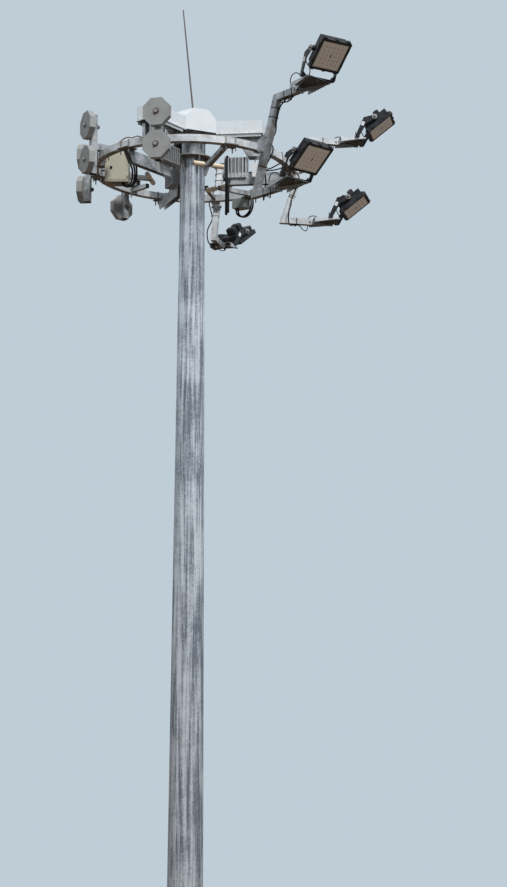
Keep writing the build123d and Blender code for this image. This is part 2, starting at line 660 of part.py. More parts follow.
# Light posts: a swept square tube with two level arms, held by a clamp plate and two cheeks
post_top_radius = RING_RADIUS + POST_TOP_OUTSET
post_foot_radius = RING_RADIUS - POST_FOOT_INSET
top_arm_end = RING_RADIUS + TOP_ARM_OUTSET
low_arm_end = RING_RADIUS + LOW_ARM_OUTSET
post_slope = (post_top_radius - post_foot_radius) / (POST_TOP_HEIGHT - POST_FOOT_HEIGHT)
clamp_face = ring_outer + SEAT_GAP


def post_radius(height):
    """Radius of a post's centre line at this height above the ring's middle."""
    return post_foot_radius + (height - POST_FOOT_HEIGHT) * post_slope


for number, angle in enumerate(POST_ANGLES, start=1):
    with BuildPart() as light_post:
        with BuildLine(radial_plane(angle)) as centre_line:
            Polyline((top_arm_end, POST_TOP_HEIGHT), (post_top_radius, POST_TOP_HEIGHT),
                     (post_foot_radius, POST_FOOT_HEIGHT), (low_arm_end, POST_FOOT_HEIGHT))
        arm_section = Plane(origin=at(angle, top_arm_end, POST_TOP_HEIGHT), x_dir=direction(angle + 90),
                            z_dir=-direction(angle))
        with BuildSketch(arm_section):
            Rectangle(POST_TUBE, POST_TUBE)
            Rectangle(POST_TUBE - 2 * POST_WALL, POST_TUBE - 2 * POST_WALL, mode=Mode.SUBTRACT)
        sweep(path=centre_line.wires()[0], transition=Transition.RIGHT)
        with BuildSketch(across_plane(angle, clamp_face)):
            Rectangle(CLAMP_WIDTH, CLAMP_HEIGHT)
        extrude(amount=CLAMP_PLATE)
        for side in (-1, 1):
            with BuildSketch(radial_plane(angle, side * POST_TUBE / 2)):
                with BuildLine():
                    Polyline((clamp_face, -CLAMP_HEIGHT / 2),
                             (post_radius(-CHEEK_HEIGHT / 2), -CHEEK_HEIGHT / 2),
                             (post_radius(-CHEEK_HEIGHT / 2) + POST_TUBE / 2, -CHEEK_HEIGHT / 2),
                             (post_radius(CHEEK_HEIGHT / 2) + POST_TUBE / 2, CHEEK_HEIGHT / 2),
                             (post_radius(CHEEK_HEIGHT / 2) - POST_TUBE / 2, CHEEK_HEIGHT / 2),
                             (clamp_face, CLAMP_HEIGHT / 2), close=True)
                make_face()
            extrude(amount=-side * CHEEK_PLATE)
    write(light_post, "light_post_" + str(number))

# Lamps: name, post angle, arm end radius, arm height and aim angle
LAMPS = (("1", POST_ANGLES[0], top_arm_end, POST_TOP_HEIGHT, -62.5),
         ("2", POST_ANGLES[1], top_arm_end, POST_TOP_HEIGHT, -13.0),
         ("3", POST_ANGLES[0], low_arm_end, POST_FOOT_HEIGHT, -52.0),
         ("4", POST_ANGLES[1], low_arm_end, POST_FOOT_HEIGHT, -15.0),
         ("5", POST_ANGLES[2], low_arm_end, POST_FOOT_HEIGHT, 47.0),
         ("6", POST_ANGLES[2], top_arm_end, POST_TOP_HEIGHT, 90.0))

# Folded bracket plates on the arms' ends, each with a pan bolt hole and an arc slot
plate_top = POST_TUBE / 2
half_back = BRACKET_BACK_WIDTH / 2
half_front = BRACKET_FRONT_WIDTH / 2
skirt_run = hypot(BRACKET_LENGTH, half_front - half_back)
with BuildPart() as lamp_brackets:
    for name, angle, arm_end, height, aim in LAMPS:
        back = arm_end + SEAT_GAP
        with BuildSketch(level_plane(angle, back, height + plate_top - BRACKET_PLATE)):
            with BuildLine():
                Polyline((0, -half_back), (BRACKET_LENGTH, -half_front), (BRACKET_LENGTH, half_front),
                         (0, half_back), close=True)
            make_face()
            with Locations((PAN_SETBACK, 0)):
                Circle(PAN_BOLT_DIAMETER / 2, mode=Mode.SUBTRACT)
            slot_line = CenterArc((PAN_SETBACK, 0), SLOT_RADIUS, 180 - SLOT_HALF_ANGLE, 2 * SLOT_HALF_ANGLE)
            SlotArc(slot_line, SLOT_WIDTH, mode=Mode.SUBTRACT)
        extrude(amount=BRACKET_PLATE)
        with BuildSketch(across_plane(angle, back, height)):
            Rectangle(BRACKET_BACK_WIDTH, POST_TUBE)
        extrude(amount=BRACKET_PLATE)
        for side in (-1, 1):
            flare = direction(angle + 90) * (side * (half_front - half_back) / skirt_run)
            along = direction(angle) * (BRACKET_LENGTH / skirt_run) + flare
            corner = at(angle, back, height + plate_top, side * half_back)
            with BuildSketch(Plane(origin=corner, x_dir=along, z_dir=along.cross(UP))):
                with BuildLine():
                    Polyline((0, 0), (skirt_run, 0), (skirt_run, -BRACKET_SKIRT / 3), (0, -BRACKET_SKIRT),
                             close=True)
                make_face()
            extrude(amount=side * BRACKET_PLATE)
write(lamp_brackets, "lamp_brackets")

# Yokes, floodlights and lenses; a lamp hangs from its yoke on bolts through its side bosses
leg_inner = LAMP_SIZE / 2 + PIVOT_BOSS_LENGTH + BOSS_GAP
leg_width = YOKE_DEPTH / 2
body_size = LAMP_SIZE - 2 * LAMP_BODY_INSET
lens_size = LAMP_SIZE - 2 * LAMP_FRAME_BORDER
tilt = radians(LAMP_TILT)
for name, angle, arm_end, height, aim in LAMPS:
    forward = direction(aim)
    across = direction(aim + 90)
    foot = at(angle, arm_end + SEAT_GAP + PAN_SETBACK, height + plate_top + SEAT_GAP)
    pivot = foot + forward * PIVOT_REACH + UP * PIVOT_HEIGHT
    with BuildPart() as yoke:
        with BuildSketch(Plane(origin=foot, x_dir=forward, z_dir=UP)):
            Rectangle(YOKE_DEPTH, 2 * (leg_inner + YOKE_SHEET))
        extrude(amount=YOKE_SHEET)
        with BuildSketch(Plane(origin=foot, x_dir=forward, z_dir=UP)):
            Circle(PAN_BOLT_DIAMETER / 2 - AXLE_GAP)
        extrude(amount=-plate_top)
        for side in (-1, 1):
            leg_origin = foot + across * (side * leg_inner)
            with BuildSketch(Plane(origin=leg_origin, x_dir=forward, z_dir=forward.cross(UP))):
                with BuildLine():
                    Polyline((-leg_width, 0), (leg_width, 0),
                             (LEG_BEND_REACH + leg_width, LEG_BEND_HEIGHT - YOKE_DEPTH),
                             (PIVOT_REACH, PIVOT_HEIGHT - PIVOT_BOSS_DIAMETER / 2),
                             (PIVOT_REACH, PIVOT_HEIGHT + PIVOT_BOSS_DIAMETER / 2),
                             (LEG_BEND_REACH - leg_width / 2, LEG_BEND_HEIGHT + leg_width), close=True)
                make_face()
                with Locations((PIVOT_REACH, PIVOT_HEIGHT)):
                    Circle(PIVOT_BOSS_DIAMETER / 2)
                    Circle(PIVOT_BOLT_DIAMETER / 2 + AXLE_GAP, mode=Mode.SUBTRACT)
            extrude(amount=-side * YOKE_SHEET)
    write(yoke, "yoke_" + name)

    normal = forward * cos(tilt) + UP * sin(tilt)
    face = Plane(origin=pivot + normal * LAMP_FACE_OFFSET, x_dir=across, z_dir=normal)
    body_face = face.offset(-LAMP_FRAME_DEPTH)
    back_face = body_face.offset(-LAMP_BODY_DEPTH)
    with BuildPart() as lamp:
        with BuildSketch(face):
            RectangleRounded(LAMP_SIZE, LAMP_SIZE, LAMP_CORNER)
        extrude(amount=-LAMP_FRAME_DEPTH)
        with BuildSketch(body_face):
            RectangleRounded(body_size, body_size, LAMP_CORNER)
        extrude(amount=-LAMP_BODY_DEPTH)
        with BuildSketch(back_face):
            with GridLocations(FIN_SLOT_PITCH, 0, FIN_SLOT_COUNT, 1):
                Rectangle(FIN_SLOT_WIDTH, body_size - 2 * FIN_SLOT_MARGIN)
        extrude(amount=FIN_SLOT_DEPTH, mode=Mode.SUBTRACT)
        with BuildSketch(back_face.offset(FIN_SLOT_DEPTH)):
            with GridLocations(0, BACK_BLOCK_SPACING, 1, 2):
                Rectangle(BACK_BLOCK_WIDTH, BACK_BLOCK_LENGTH)
        extrude(amount=-FIN_SLOT_DEPTH - BACK_BLOCK_HEIGHT)
        with BuildSketch(face):
            Rectangle(lens_size, lens_size)
        extrude(amount=-LENS_THICKNESS - LENS_RECESS, mode=Mode.SUBTRACT)
        for side in (-1, 1):
            boss_root = pivot + across * (side * (body_size / 2 - LAMP_CORNER))
            with BuildSketch(Plane(origin=boss_root, z_dir=across * side)):
                Circle(PIVOT_BOSS_DIAMETER / 2)
            extrude(amount=LAMP_SIZE / 2 + PIVOT_BOSS_LENGTH - body_size / 2 + LAMP_CORNER)
            with BuildSketch(Plane(origin=boss_root, z_dir=across * side)):
                Circle(PIVOT_BOLT_DIAMETER / 2)
            extrude(amount=leg_inner + YOKE_SHEET + PIVOT_BOLT_END - body_size / 2 + LAMP_CORNER)
    write(lamp, "floodlight_" + name)

    with BuildPart() as lens:
        with BuildSketch(face.offset(-LENS_THICKNESS - LENS_RECESS)):
            Rectangle(lens_size - 2 * SEAT_GAP, lens_size - 2 * SEAT_GAP)
        extrude(amount=LENS_THICKNESS)
    write(lens, "lens_" + name)

# Counterweight posts outside the ring, each on a stub tube that lies on the ring
weight_post_radius = RING_RADIUS + WEIGHT_POST_OUTSET
stub_height = TUBE / 2 + SEAT_GAP + POST_TUBE / 2
with BuildPart() as weight_posts:
    for angle, low, pitch in zip(WEIGHT_ANGLES, WEIGHT_LOW_HEIGHTS, WEIGHT_PITCHES):
        bar(at(angle, weight_post_radius, low - WEIGHT_POST_BELOW),
            at(angle, weight_post_radius, low + pitch + WEIGHT_POST_ABOVE), POST_TUBE, POST_WALL,
            direction(angle + 90))
        bar(at(angle, RING_RADIUS - WEIGHT_STUB_INSET, stub_height),
            at(angle, weight_post_radius - POST_TUBE / 2, stub_height), POST_TUBE, POST_WALL,
            direction(angle + 90))
write(weight_posts, "weight_posts")

# Octagonal counterweights, a pair on each post
with BuildPart() as counterweights:
    for angle, low, pitch in zip(WEIGHT_ANGLES, WEIGHT_LOW_HEIGHTS, WEIGHT_PITCHES):
        for height in (low, low + pitch):
            plate = across_plane(angle, weight_post_radius + POST_TUBE / 2 + SEAT_GAP, height)
            with BuildSketch(plate):
                RegularPolygon(WEIGHT_ACROSS_FLATS / 2, WEIGHT_SIDES, major_radius=False,
                               rotation=180 / WEIGHT_SIDES)
            extrude(amount=WEIGHT_THICKNESS)
            with BuildSketch(plate.offset(WEIGHT_THICKNESS)):
                RegularPolygon(WEIGHT_BOLT_DIAMETER / sqrt(2), 6)
            extrude(amount=WEIGHT_BOLT_HEAD)
write(counterweights, "counterweights")

# Capped stub tubes on the ring's inner face
with BuildPart() as capped_stubs:
    for angle, length in zip(CAPPED_STUB_ANGLES, CAPPED_STUB_LENGTHS):
        bar(at(angle, ring_inner - length), at(angle, RING_RADIUS), CAPPED_STUB_TUBE, CAPPED_STUB_WALL,
            direction(angle + 90))
    with BuildSketch(Plane.XY.offset(RING_Z - TUBE)):
        Circle(ring_outer)
        Circle(ring_inner - SEAT_GAP, mode=Mode.SUBTRACT)
    extrude(amount=2 * TUBE, mode=Mode.SUBTRACT)
write(capped_stubs, "capped_stubs")

# Junction box on a bracket inside the ring
junction_x = JUNCTION_INSET - RING_RADIUS
junction_side = junction_x - JUNCTION_WIDTH / 2 - SEAT_GAP
junction_front = Vector(junction_x, JUNCTION_Y - JUNCTION_DEPTH / 2, RING_Z - JUNCTION_DROP)
with BuildPart() as junction_box:
    with BuildSketch(Plane(origin=junction_front, x_dir=(1, 0, 0), z_dir=(0, 1, 0))):
        RectangleRounded(JUNCTION_WIDTH, JUNCTION_HEIGHT, JUNCTION_CORNER)
    extrude(amount=JUNCTION_DEPTH)
write(junction_box, "junction_box")

with BuildPart() as junction_bracket:
    with BuildSketch(Plane(origin=(junction_side, JUNCTION_Y, RING_Z), x_dir=(0, 1, 0), z_dir=(-1, 0, 0))):
        Rectangle(JUNCTION_BRACKET_WIDTH, JUNCTION_BRACKET_HEIGHT)
    extrude(amount=JUNCTION_INSET - JUNCTION_WIDTH / 2 + JUNCTION_BRACKET_PAST)
    with BuildSketch(Plane.XY.offset(RING_Z - TUBE)):
        Circle(ring_outer + TUBE)
        Circle(ring_inner - SEAT_GAP, mode=Mode.SUBTRACT)
    extrude(amount=2 * TUBE, mode=Mode.SUBTRACT)
write(junction_bracket, "junction_bracket")

# Splice box hung under the ring on two hangers
splice_top = -TUBE / 2 - SEAT_GAP
with BuildPart() as splice_box:
    with BuildSketch(level_plane(SPLICE_ANGLE, RING_RADIUS, -SPLICE_DROP)):
        Rectangle(SPLICE_DEPTH, SPLICE_WIDTH)
    extrude(amount=-SPLICE_HEIGHT)
    with BuildSketch(level_plane(SPLICE_ANGLE, RING_RADIUS, -SPLICE_DROP)):
        with GridLocations(0, SPLICE_HANGER_SPACING, 1, 2):
            Rectangle(SPLICE_HANGER_WIDTH, SPLICE_HANGER_THICKNESS)
    extrude(amount=SPLICE_DROP + splice_top)
write(splice_box, "splice_box")

# Terminal box on the web of the spoke to the right
terminal_angle = HEAD_ANGLES[0]
terminal_side = -SPOKE_WIDTH / 2 - SEAT_GAP
with BuildPart() as terminal_box:
    with BuildSketch(radial_plane(terminal_angle, terminal_side)):
        with Locations((TERMINAL_REACH, TERMINAL_HEIGHT_MIDDLE)):
            Rectangle(TERMINAL_WIDTH, TERMINAL_HEIGHT)
    extrude(amount=TERMINAL_DEPTH)
write(terminal_box, "terminal_box")
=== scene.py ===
"""High mast floodlight tower: finishes, fasteners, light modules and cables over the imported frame.

Metres and degrees. +Z is up, the origin is the centre of the base flange's underside, and a
height in the carriage or the head is measured from the middle of the ring's tube.
"""
import json
import logging
from dataclasses import dataclass
from enum import Enum
from math import cos, pi, radians, sin, tan
from typing import Iterable, Optional, Sequence, Union

import bpy
import numpy as np
from mathutils import Matrix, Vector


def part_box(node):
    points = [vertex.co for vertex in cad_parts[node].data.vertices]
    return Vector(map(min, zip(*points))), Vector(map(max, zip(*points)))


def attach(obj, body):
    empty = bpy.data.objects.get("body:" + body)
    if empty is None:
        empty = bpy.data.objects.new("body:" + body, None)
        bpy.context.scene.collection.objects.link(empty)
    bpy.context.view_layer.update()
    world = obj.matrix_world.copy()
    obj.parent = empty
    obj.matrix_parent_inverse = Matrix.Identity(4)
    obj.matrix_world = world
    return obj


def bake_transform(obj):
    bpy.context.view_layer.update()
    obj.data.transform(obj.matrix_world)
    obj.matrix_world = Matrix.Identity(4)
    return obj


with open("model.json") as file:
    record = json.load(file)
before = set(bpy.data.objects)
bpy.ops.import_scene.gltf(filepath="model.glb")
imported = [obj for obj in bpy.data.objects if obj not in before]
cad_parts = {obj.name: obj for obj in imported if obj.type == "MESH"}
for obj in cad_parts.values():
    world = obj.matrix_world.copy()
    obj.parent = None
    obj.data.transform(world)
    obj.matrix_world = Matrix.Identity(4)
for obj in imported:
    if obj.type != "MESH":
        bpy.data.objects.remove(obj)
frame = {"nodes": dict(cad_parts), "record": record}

Array = np.ndarray
Number = Union[float, "Value"]
Colour = tuple[float, float, float]
Point = tuple[float, float, float]
LOG = logging.getLogger("tower")
UP = np.array((0.0, 0.0, 1.0))
MAST = "mast"
CARRIAGE = "carriage"


class Slot(Enum):
    """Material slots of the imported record."""
    GALVANISED = "galvanised"
    CANOPY = "canopy_sheet"
    ROD = "rod"
    ROPE = "rope"
    WEIGHT = "weight_plate"
    ENAMEL = "box_enamel"
    PLASTIC = "box_plastic"
    DRIVER = "driver_case"
    NYLON = "roller_nylon"
    CHARCOAL = "lamp_black"
    LENS = "lens"


# Shader kit

class Value:
    """A shader socket whose arithmetic adds Math nodes."""

    def __init__(self, graph: "Graph", socket: bpy.types.NodeSocket) -> None:
        """Keep the graph that grows and the socket that holds the value."""
        self.graph = graph
        self.socket = socket

    def _math(self, operation: str, first: Number, second: Number) -> "Value":
        """Math node of one operation on two values."""
        return self.graph.node("ShaderNodeMath", {"operation": operation}, {0: first, 1: second})

    def __add__(self, other: Number) -> "Value":
        """Sum."""
        return self._math("ADD", self, other)

    def __radd__(self, other: Number) -> "Value":
        """Sum with a number on the left."""
        return self._math("ADD", other, self)

    def __sub__(self, other: Number) -> "Value":
        """Difference."""
        return self._math("SUBTRACT", self, other)

    def __rsub__(self, other: Number) -> "Value":
        """Difference from a number on the left."""
        return self._math("SUBTRACT", other, self)

    def __mul__(self, other: Number) -> "Value":
        """Product."""
        return self._math("MULTIPLY", self, other)

    def __rmul__(self, other: Number) -> "Value":
        """Product with a number on the left."""
        return self._math("MULTIPLY", other, self)

    def clamped(self) -> "Value":
        """The value held between 0 and 1."""
        return self.graph.node("ShaderNodeClamp", {}, {0: self, 1: 0.0, 2: 1.0})


class Graph:
    """Node tree of one material or world."""

    def __init__(self, owner: Union[bpy.types.Material, bpy.types.World]) -> None:
        """Start an empty tree in a material or a world.

        Args:
            owner: the material or world whose nodes are cleared.
        """
        owner.use_nodes = True
        self.owner = owner
        self.tree = owner.node_tree
        self.tree.nodes.clear()

    @classmethod
    def named(cls, name: str) -> "Graph":
        """Empty tree of a new material of this name."""
        return cls(bpy.data.materials.new(name))

    def node(self, kind: str, settings: dict, inputs: dict, output: Union[int, str] = 0) -> Value:
        """Add a node.

        Args:
            kind: Blender's name of the node type.
            settings: properties of the node, set first.
            inputs: values or links of its sockets, by name or place.
            output: the socket that the result is read from.

        Returns:
            The chosen output.
        """
        node = self.tree.nodes.new(kind)
        for name, setting in settings.items():
            setattr(node, name, setting)
        for name, value in inputs.items():
            if isinstance(value, Value):
                self.tree.links.new(value.socket, node.inputs[name])
            else:
                node.inputs[name].default_value = value
        return Value(self, node.outputs[output])

    def place(self, stretch: Point = (1.0, 1.0, 1.0)) -> Value:
        """Object coordinates, scaled along each axis by stretch."""
        raw = self.node("ShaderNodeTexCoord", {}, {}, "Object")
        return self.node("ShaderNodeMapping", {}, {"Vector": raw, "Scale": stretch})

    def noise(self, place: Value, scale: float, detail: float = 4.0) -> Value:
        """Fractal noise around a half."""
        return self.node("ShaderNodeTexNoise", {}, {"Vector": place, "Scale": scale, "Detail": detail})

    def cells(self, place: Value, scale: float) -> Value:
        """One random value for each Voronoi cell."""
        colour = self.node("ShaderNodeTexVoronoi", {}, {"Vector": place, "Scale": scale}, "Color")
        return self.node("ShaderNodeSeparateColor", {}, {0: colour})

    def mix(self, factor: Number, first: Union[Colour, Value], second: Union[Colour, Value]) -> Value:
        """Colour between first and second."""
        ends = [colour if isinstance(colour, Value) else (*colour, 1.0) for colour in (first, second)]
        return self.node("ShaderNodeMix", {"data_type": "RGBA"}, {0: factor, 6: ends[0], 7: ends[1]}, 2)

    def under(self) -> Value:
        """How far a surface faces down: nought for a wall, one for a ceiling. The finishes use it to paint
        shade on undersides.
        """
        normal = self.node("ShaderNodeNewGeometry", {}, {}, "Normal")
        return (self.node("ShaderNodeSeparateXYZ", {}, {0: normal}, 2) * -1.6 - 0.25).clamped()

    def bump(self, height: Value, strength: float, distance: float) -> Value:
        """Normal tilted by a height map that is distance metres deep."""
        return self.node("ShaderNodeBump", {}, {"Height": height, "Strength": strength, "Distance": distance})

    def finish(self, sockets: dict) -> bpy.types.Material:
        """End the tree in a Principled shader.

        Args:
            sockets: values or links of the shader's sockets.

        Returns:
            The material.
        """
        shader = self.node("ShaderNodeBsdfPrincipled", {}, sockets)
        output = self.tree.nodes.new("ShaderNodeOutputMaterial")
        self.tree.links.new(shader.socket, output.inputs["Surface"])
        return self.owner


# Finishes

@dataclass(frozen=True)
class Zinc:
    """Hot-dip galvanised steel: clouded tone, zinc crystals, runs of water, brown dust patches, and painted
    shade in the dust colour on its undersides.
    """
    name: str
    light: Colour = (0.62, 0.65, 0.68)
    dark: Colour = (0.17, 0.185, 0.20)
    # Colour of the dust patches and of the painted shade on undersides.
    dust_and_shade: Colour = (0.17, 0.125, 0.085)
    metallic: float = 0.35
    roughness: float = 0.40
    cloud_scale: float = 7.0
    cloud_depth: float = 2.4
    crystal_scale: float = 55.0
    crystal_depth: float = 0.35
    run_scale: float = 30.0
    run_depth: float = 0.0
    dust_scale: float = 9.0
    dust_depth: float = 0.35
    painted_underside_shade: float = 0.75
    dust_start: float = 0.52
    dust_edge: float = 7.0
    run_stretch: Point = (1.0, 1.0, 0.035)
    grain_scale: float = 260.0
    grain_strength: float = 0.25
    grain_depth: float = 0.0006

    def material(self) -> bpy.types.Material:
        """Material whose tone is the sum of clouds, crystals and vertical runs about a half.

        Returns:
            The material.
        """
        graph = Graph.named(self.name)
        place = graph.place()
        clouds = graph.noise(place, self.cloud_scale, 6.0) - 0.5
        crystals = graph.cells(place, self.crystal_scale) - 0.5
        runs = graph.noise(graph.place(self.run_stretch), self.run_scale, 5.0) - 0.5
        tone = (0.5 + clouds * self.cloud_depth + crystals * self.crystal_depth
                + runs * self.run_depth).clamped()
        spread = graph.noise(place, self.dust_scale, 8.0) - self.dust_start
        patches = (spread * self.dust_edge).clamped() * self.dust_depth
        # Dust patches where the noise is high, plus painted shade: faces that look down take the dust colour.
        dust_and_shade = (patches + graph.under() * self.painted_underside_shade).clamped()
        colour = graph.mix(dust_and_shade, graph.mix(tone, self.dark, self.light), self.dust_and_shade)
        grain = graph.noise(place, self.grain_scale, 3.0)
        return graph.finish({
            "Base Color": colour,
            "Metallic": self.metallic,
            "Roughness": self.roughness + (0.5 - tone) * 0.16 + dust_and_shade * 0.3,
            "Normal": graph.bump(grain + crystals * 0.6, self.grain_strength, self.grain_depth),
        })


@dataclass(frozen=True)
class Coat:
    """Painted, moulded or cast surface with slight clouds, painted shade in its under colour on faces that
    look down where it has one, and a fine grain.
    """
    name: str
    base: Colour
    worn: Colour
    metallic: float = 0.0
    roughness: float = 0.5
    cloud_scale: float = 9.0
    wear: float = 0.5
    grain_scale: float = 420.0
    grain_depth: float = 0.0004
    coat: float = 0.0
    # Colour of the painted shade on undersides, if any.
    under: Optional[Colour] = None
    painted_underside_shade: float = 0.9
    wear_start: float = 0.42
    wear_edge: float = 3.0
    specular: float = 0.5

    def material(self) -> bpy.types.Material:
        """Material that goes from base to worn where a fractal cloud is high.

        Returns:
            The material.
        """
        graph = Graph.named(self.name)
        place = graph.place()
        spread = graph.noise(place, self.cloud_scale, 7.0) - self.wear_start
        cloud = (spread * self.wear_edge).clamped() * self.wear
        colour = graph.mix(cloud, self.base, self.worn)
        # Painted shade: faces that look down take the under colour.
        if self.under:
            colour = graph.mix(graph.under() * self.painted_underside_shade, colour, self.under)
        grain = graph.noise(place, self.grain_scale, 2.0)
        return graph.finish({
            "Base Color": colour,
            "Metallic": self.metallic,
            "Roughness": self.roughness + cloud * 0.2,
            "Coat Weight": self.coat,
            "Specular IOR Level": self.specular,
            "Normal": graph.bump(grain, 0.3, self.grain_depth),
        })


@dataclass(frozen=True)
class Strand:
    """Wire rope: strands as slanted bands of light and dark."""
    name: str
    light: Colour
    dark: Colour
    lay: float = 0.030
    stretch: Point = (6.0, 6.0, 1.0)
    metallic: float = 0.7
    roughness: float = 0.45

    def material(self) -> bpy.types.Material:
        """Material with a sine of height and side, whose period is the rope's lay.

        Returns:
            The material.
        """
        graph = Graph.named(self.name)
        slant = graph.place(self.stretch)
        wave = graph.node("ShaderNodeTexWave", {"bands_direction": "DIAGONAL"},
                          {"Vector": slant, "Scale": 1.0 / self.lay}, "Fac")
        return graph.finish({
            "Base Color": graph.mix(wave, self.dark, self.light),
            "Metallic": self.metallic,
            "Roughness": self.roughness,
            "Normal": graph.bump(wave, 0.6, 0.001),
        })


class Paint(Enum):
    """Finishes of the tower's pieces."""
    MAST = Zinc("mast_zinc", light=(0.79, 0.84, 0.91), dark=(0.21, 0.24, 0.29), cloud_scale=3.2,
                run_scale=40.0, run_depth=3.6, cloud_depth=1.6, dust_depth=0.14, roughness=0.30,
                metallic=0.5)
    TUBE = Zinc("tube_zinc")
    # A lighter copy of the tube zinc for the ring and posts 2 and 3: painted light that stands in for the
    # light on their lit faces.
    BRIGHT_TUBE = Zinc("painted_lit_tube_zinc", light=(0.84, 0.86, 0.88), dark=(0.42, 0.44, 0.46), cloud_depth=2.0,
                       roughness=0.36)
    PLATE = Zinc("plate_zinc", light=(0.42, 0.41, 0.39), dust_depth=0.8, dust_scale=14.0)
    # The canopy sheet's undersides take a little painted shade in the dust colour.
    SHEET = Zinc("bright_sheet", light=(0.89, 0.92, 0.94), dark=(0.70, 0.73, 0.76), dust_depth=0.05,
                 crystal_depth=0.22, cloud_depth=1.4, roughness=0.34, painted_underside_shade=0.45)
    BOLT = Zinc("bolt_zinc", light=(0.44, 0.43, 0.41), dark=(0.13, 0.12, 0.115), crystal_depth=0.0,
                cloud_scale=40.0, dust_scale=60.0, dust_depth=0.5)
    WEIGHT = Coat("weight_primer", (0.33, 0.335, 0.33), (0.22, 0.205, 0.18), metallic=0.15,
                  roughness=0.6, cloud_scale=11.0)
    ROD = Coat("weathered_rod", (0.12, 0.095, 0.09), (0.20, 0.165, 0.155), metallic=0.4, cloud_scale=20.0)
    # The enamels' brown under colours are painted shade on the boxes' undersides.
    ENAMEL = Coat("beige_enamel", (0.50, 0.485, 0.385), (0.36, 0.31, 0.22), roughness=0.38, wear=0.35,
                  cloud_scale=8.0, under=(0.26, 0.17, 0.085))
    GREY_ENAMEL = Coat("grey_green_enamel", (0.235, 0.265, 0.26), (0.15, 0.155, 0.14), roughness=0.38,
                       wear=0.5, cloud_scale=12.0, under=(0.24, 0.17, 0.10))
    PLASTIC = Coat("pale_plastic", (0.74, 0.76, 0.76), (0.55, 0.55, 0.53), roughness=0.45, wear=0.4)
    DRIVER = Coat("cast_case", (0.34, 0.35, 0.36), (0.19, 0.19, 0.20), metallic=0.4, roughness=0.45,
                  cloud_scale=16.0)
    FIN = Coat("cast_fin", (0.62, 0.63, 0.64), (0.36, 0.36, 0.36), metallic=0.35, roughness=0.42,
               cloud_scale=16.0)
    NYLON = Coat("cream_nylon", (0.74, 0.63, 0.47), (0.42, 0.26, 0.15), roughness=0.5, cloud_scale=14.0)
    CHARCOAL = Coat("charcoal_powder", (0.024, 0.026, 0.031), (0.066, 0.069, 0.075), roughness=0.42,
                    cloud_scale=12.0, grain_scale=900.0, wear=0.6, specular=0.22)
    RUBBER = Coat("black_rubber", (0.008, 0.008, 0.009), (0.022, 0.021, 0.020), roughness=0.5,
                  cloud_scale=25.0, specular=0.2)
    # The bracket's near-black dust colour is mostly painted shade on its undersides, with a few small dark
    # patches elsewhere.
    BRACKET = Zinc("bracket_zinc", light=(0.78, 0.81, 0.84), dark=(0.36, 0.38, 0.40),
                   dust_and_shade=(0.055, 0.050, 0.042), dust_depth=0.10, painted_underside_shade=0.95)
    BROWN_LEAD = Coat("red_brown_lead", (0.22, 0.11, 0.075), (0.33, 0.22, 0.16), roughness=0.5)
    BOARD = Coat("module_board", (0.60, 0.53, 0.46), (0.50, 0.44, 0.385), roughness=0.38, wear=0.5,
                 cloud_scale=30.0, specular=0.25)
    MODULE = Coat("module_lens", (0.95, 0.86, 0.78), (0.86, 0.78, 0.71), roughness=0.36, wear=0.4,
                  cloud_scale=60.0, coat=0.05, specular=0.25)
    LABEL = Coat("blank_label", (0.80, 0.82, 0.84), (0.70, 0.71, 0.72), roughness=0.4, wear=0.3)
    ROPE = Strand("rope_strands", (0.42, 0.41, 0.40), (0.10, 0.095, 0.09))

    def material(self) -> bpy.types.Material:
        """The finish's material, made on first use."""
        made = bpy.data.materials.get(self.value.name)
        return made if made else self.value.material()


SLOT_PAINT = {
    Slot.GALVANISED: Paint.TUBE, Slot.CANOPY: Paint.SHEET, Slot.ROD: Paint.ROD, Slot.ROPE: Paint.ROPE,
    Slot.WEIGHT: Paint.WEIGHT, Slot.ENAMEL: Paint.ENAMEL, Slot.PLASTIC: Paint.PLASTIC,
    Slot.DRIVER: Paint.DRIVER, Slot.NYLON: Paint.NYLON, Slot.CHARCOAL: Paint.CHARCOAL,
    Slot.LENS: Paint.BOARD,
}
# The ring and posts 2 and 3 take the lighter copy of the tube zinc, which is painted light.
NODE_PAINT = {
    "mast_lower": Paint.MAST, "mast_middle": Paint.MAST, "mast_upper": Paint.MAST,
    "ring_clamps": Paint.PLATE, "head_plate": Paint.PLATE, "junction_bracket": Paint.PLATE,
    "lamp_brackets": Paint.BRACKET, "splice_box": Paint.GREY_ENAMEL, "carriage_ring": Paint.BRIGHT_TUBE,
    "light_post_2": Paint.BRIGHT_TUBE, "light_post_3": Paint.BRIGHT_TUBE,
}


# Mesh kit

def unit(vector: Array) -> Array:
    """The vector at length one."""
    return vector / np.linalg.norm(vector)


def outward(angle: float) -> Array:
    """Level unit vector away from the mast at this angle."""
    return np.array((cos(radians(angle)), sin(radians(angle)), 0.0))


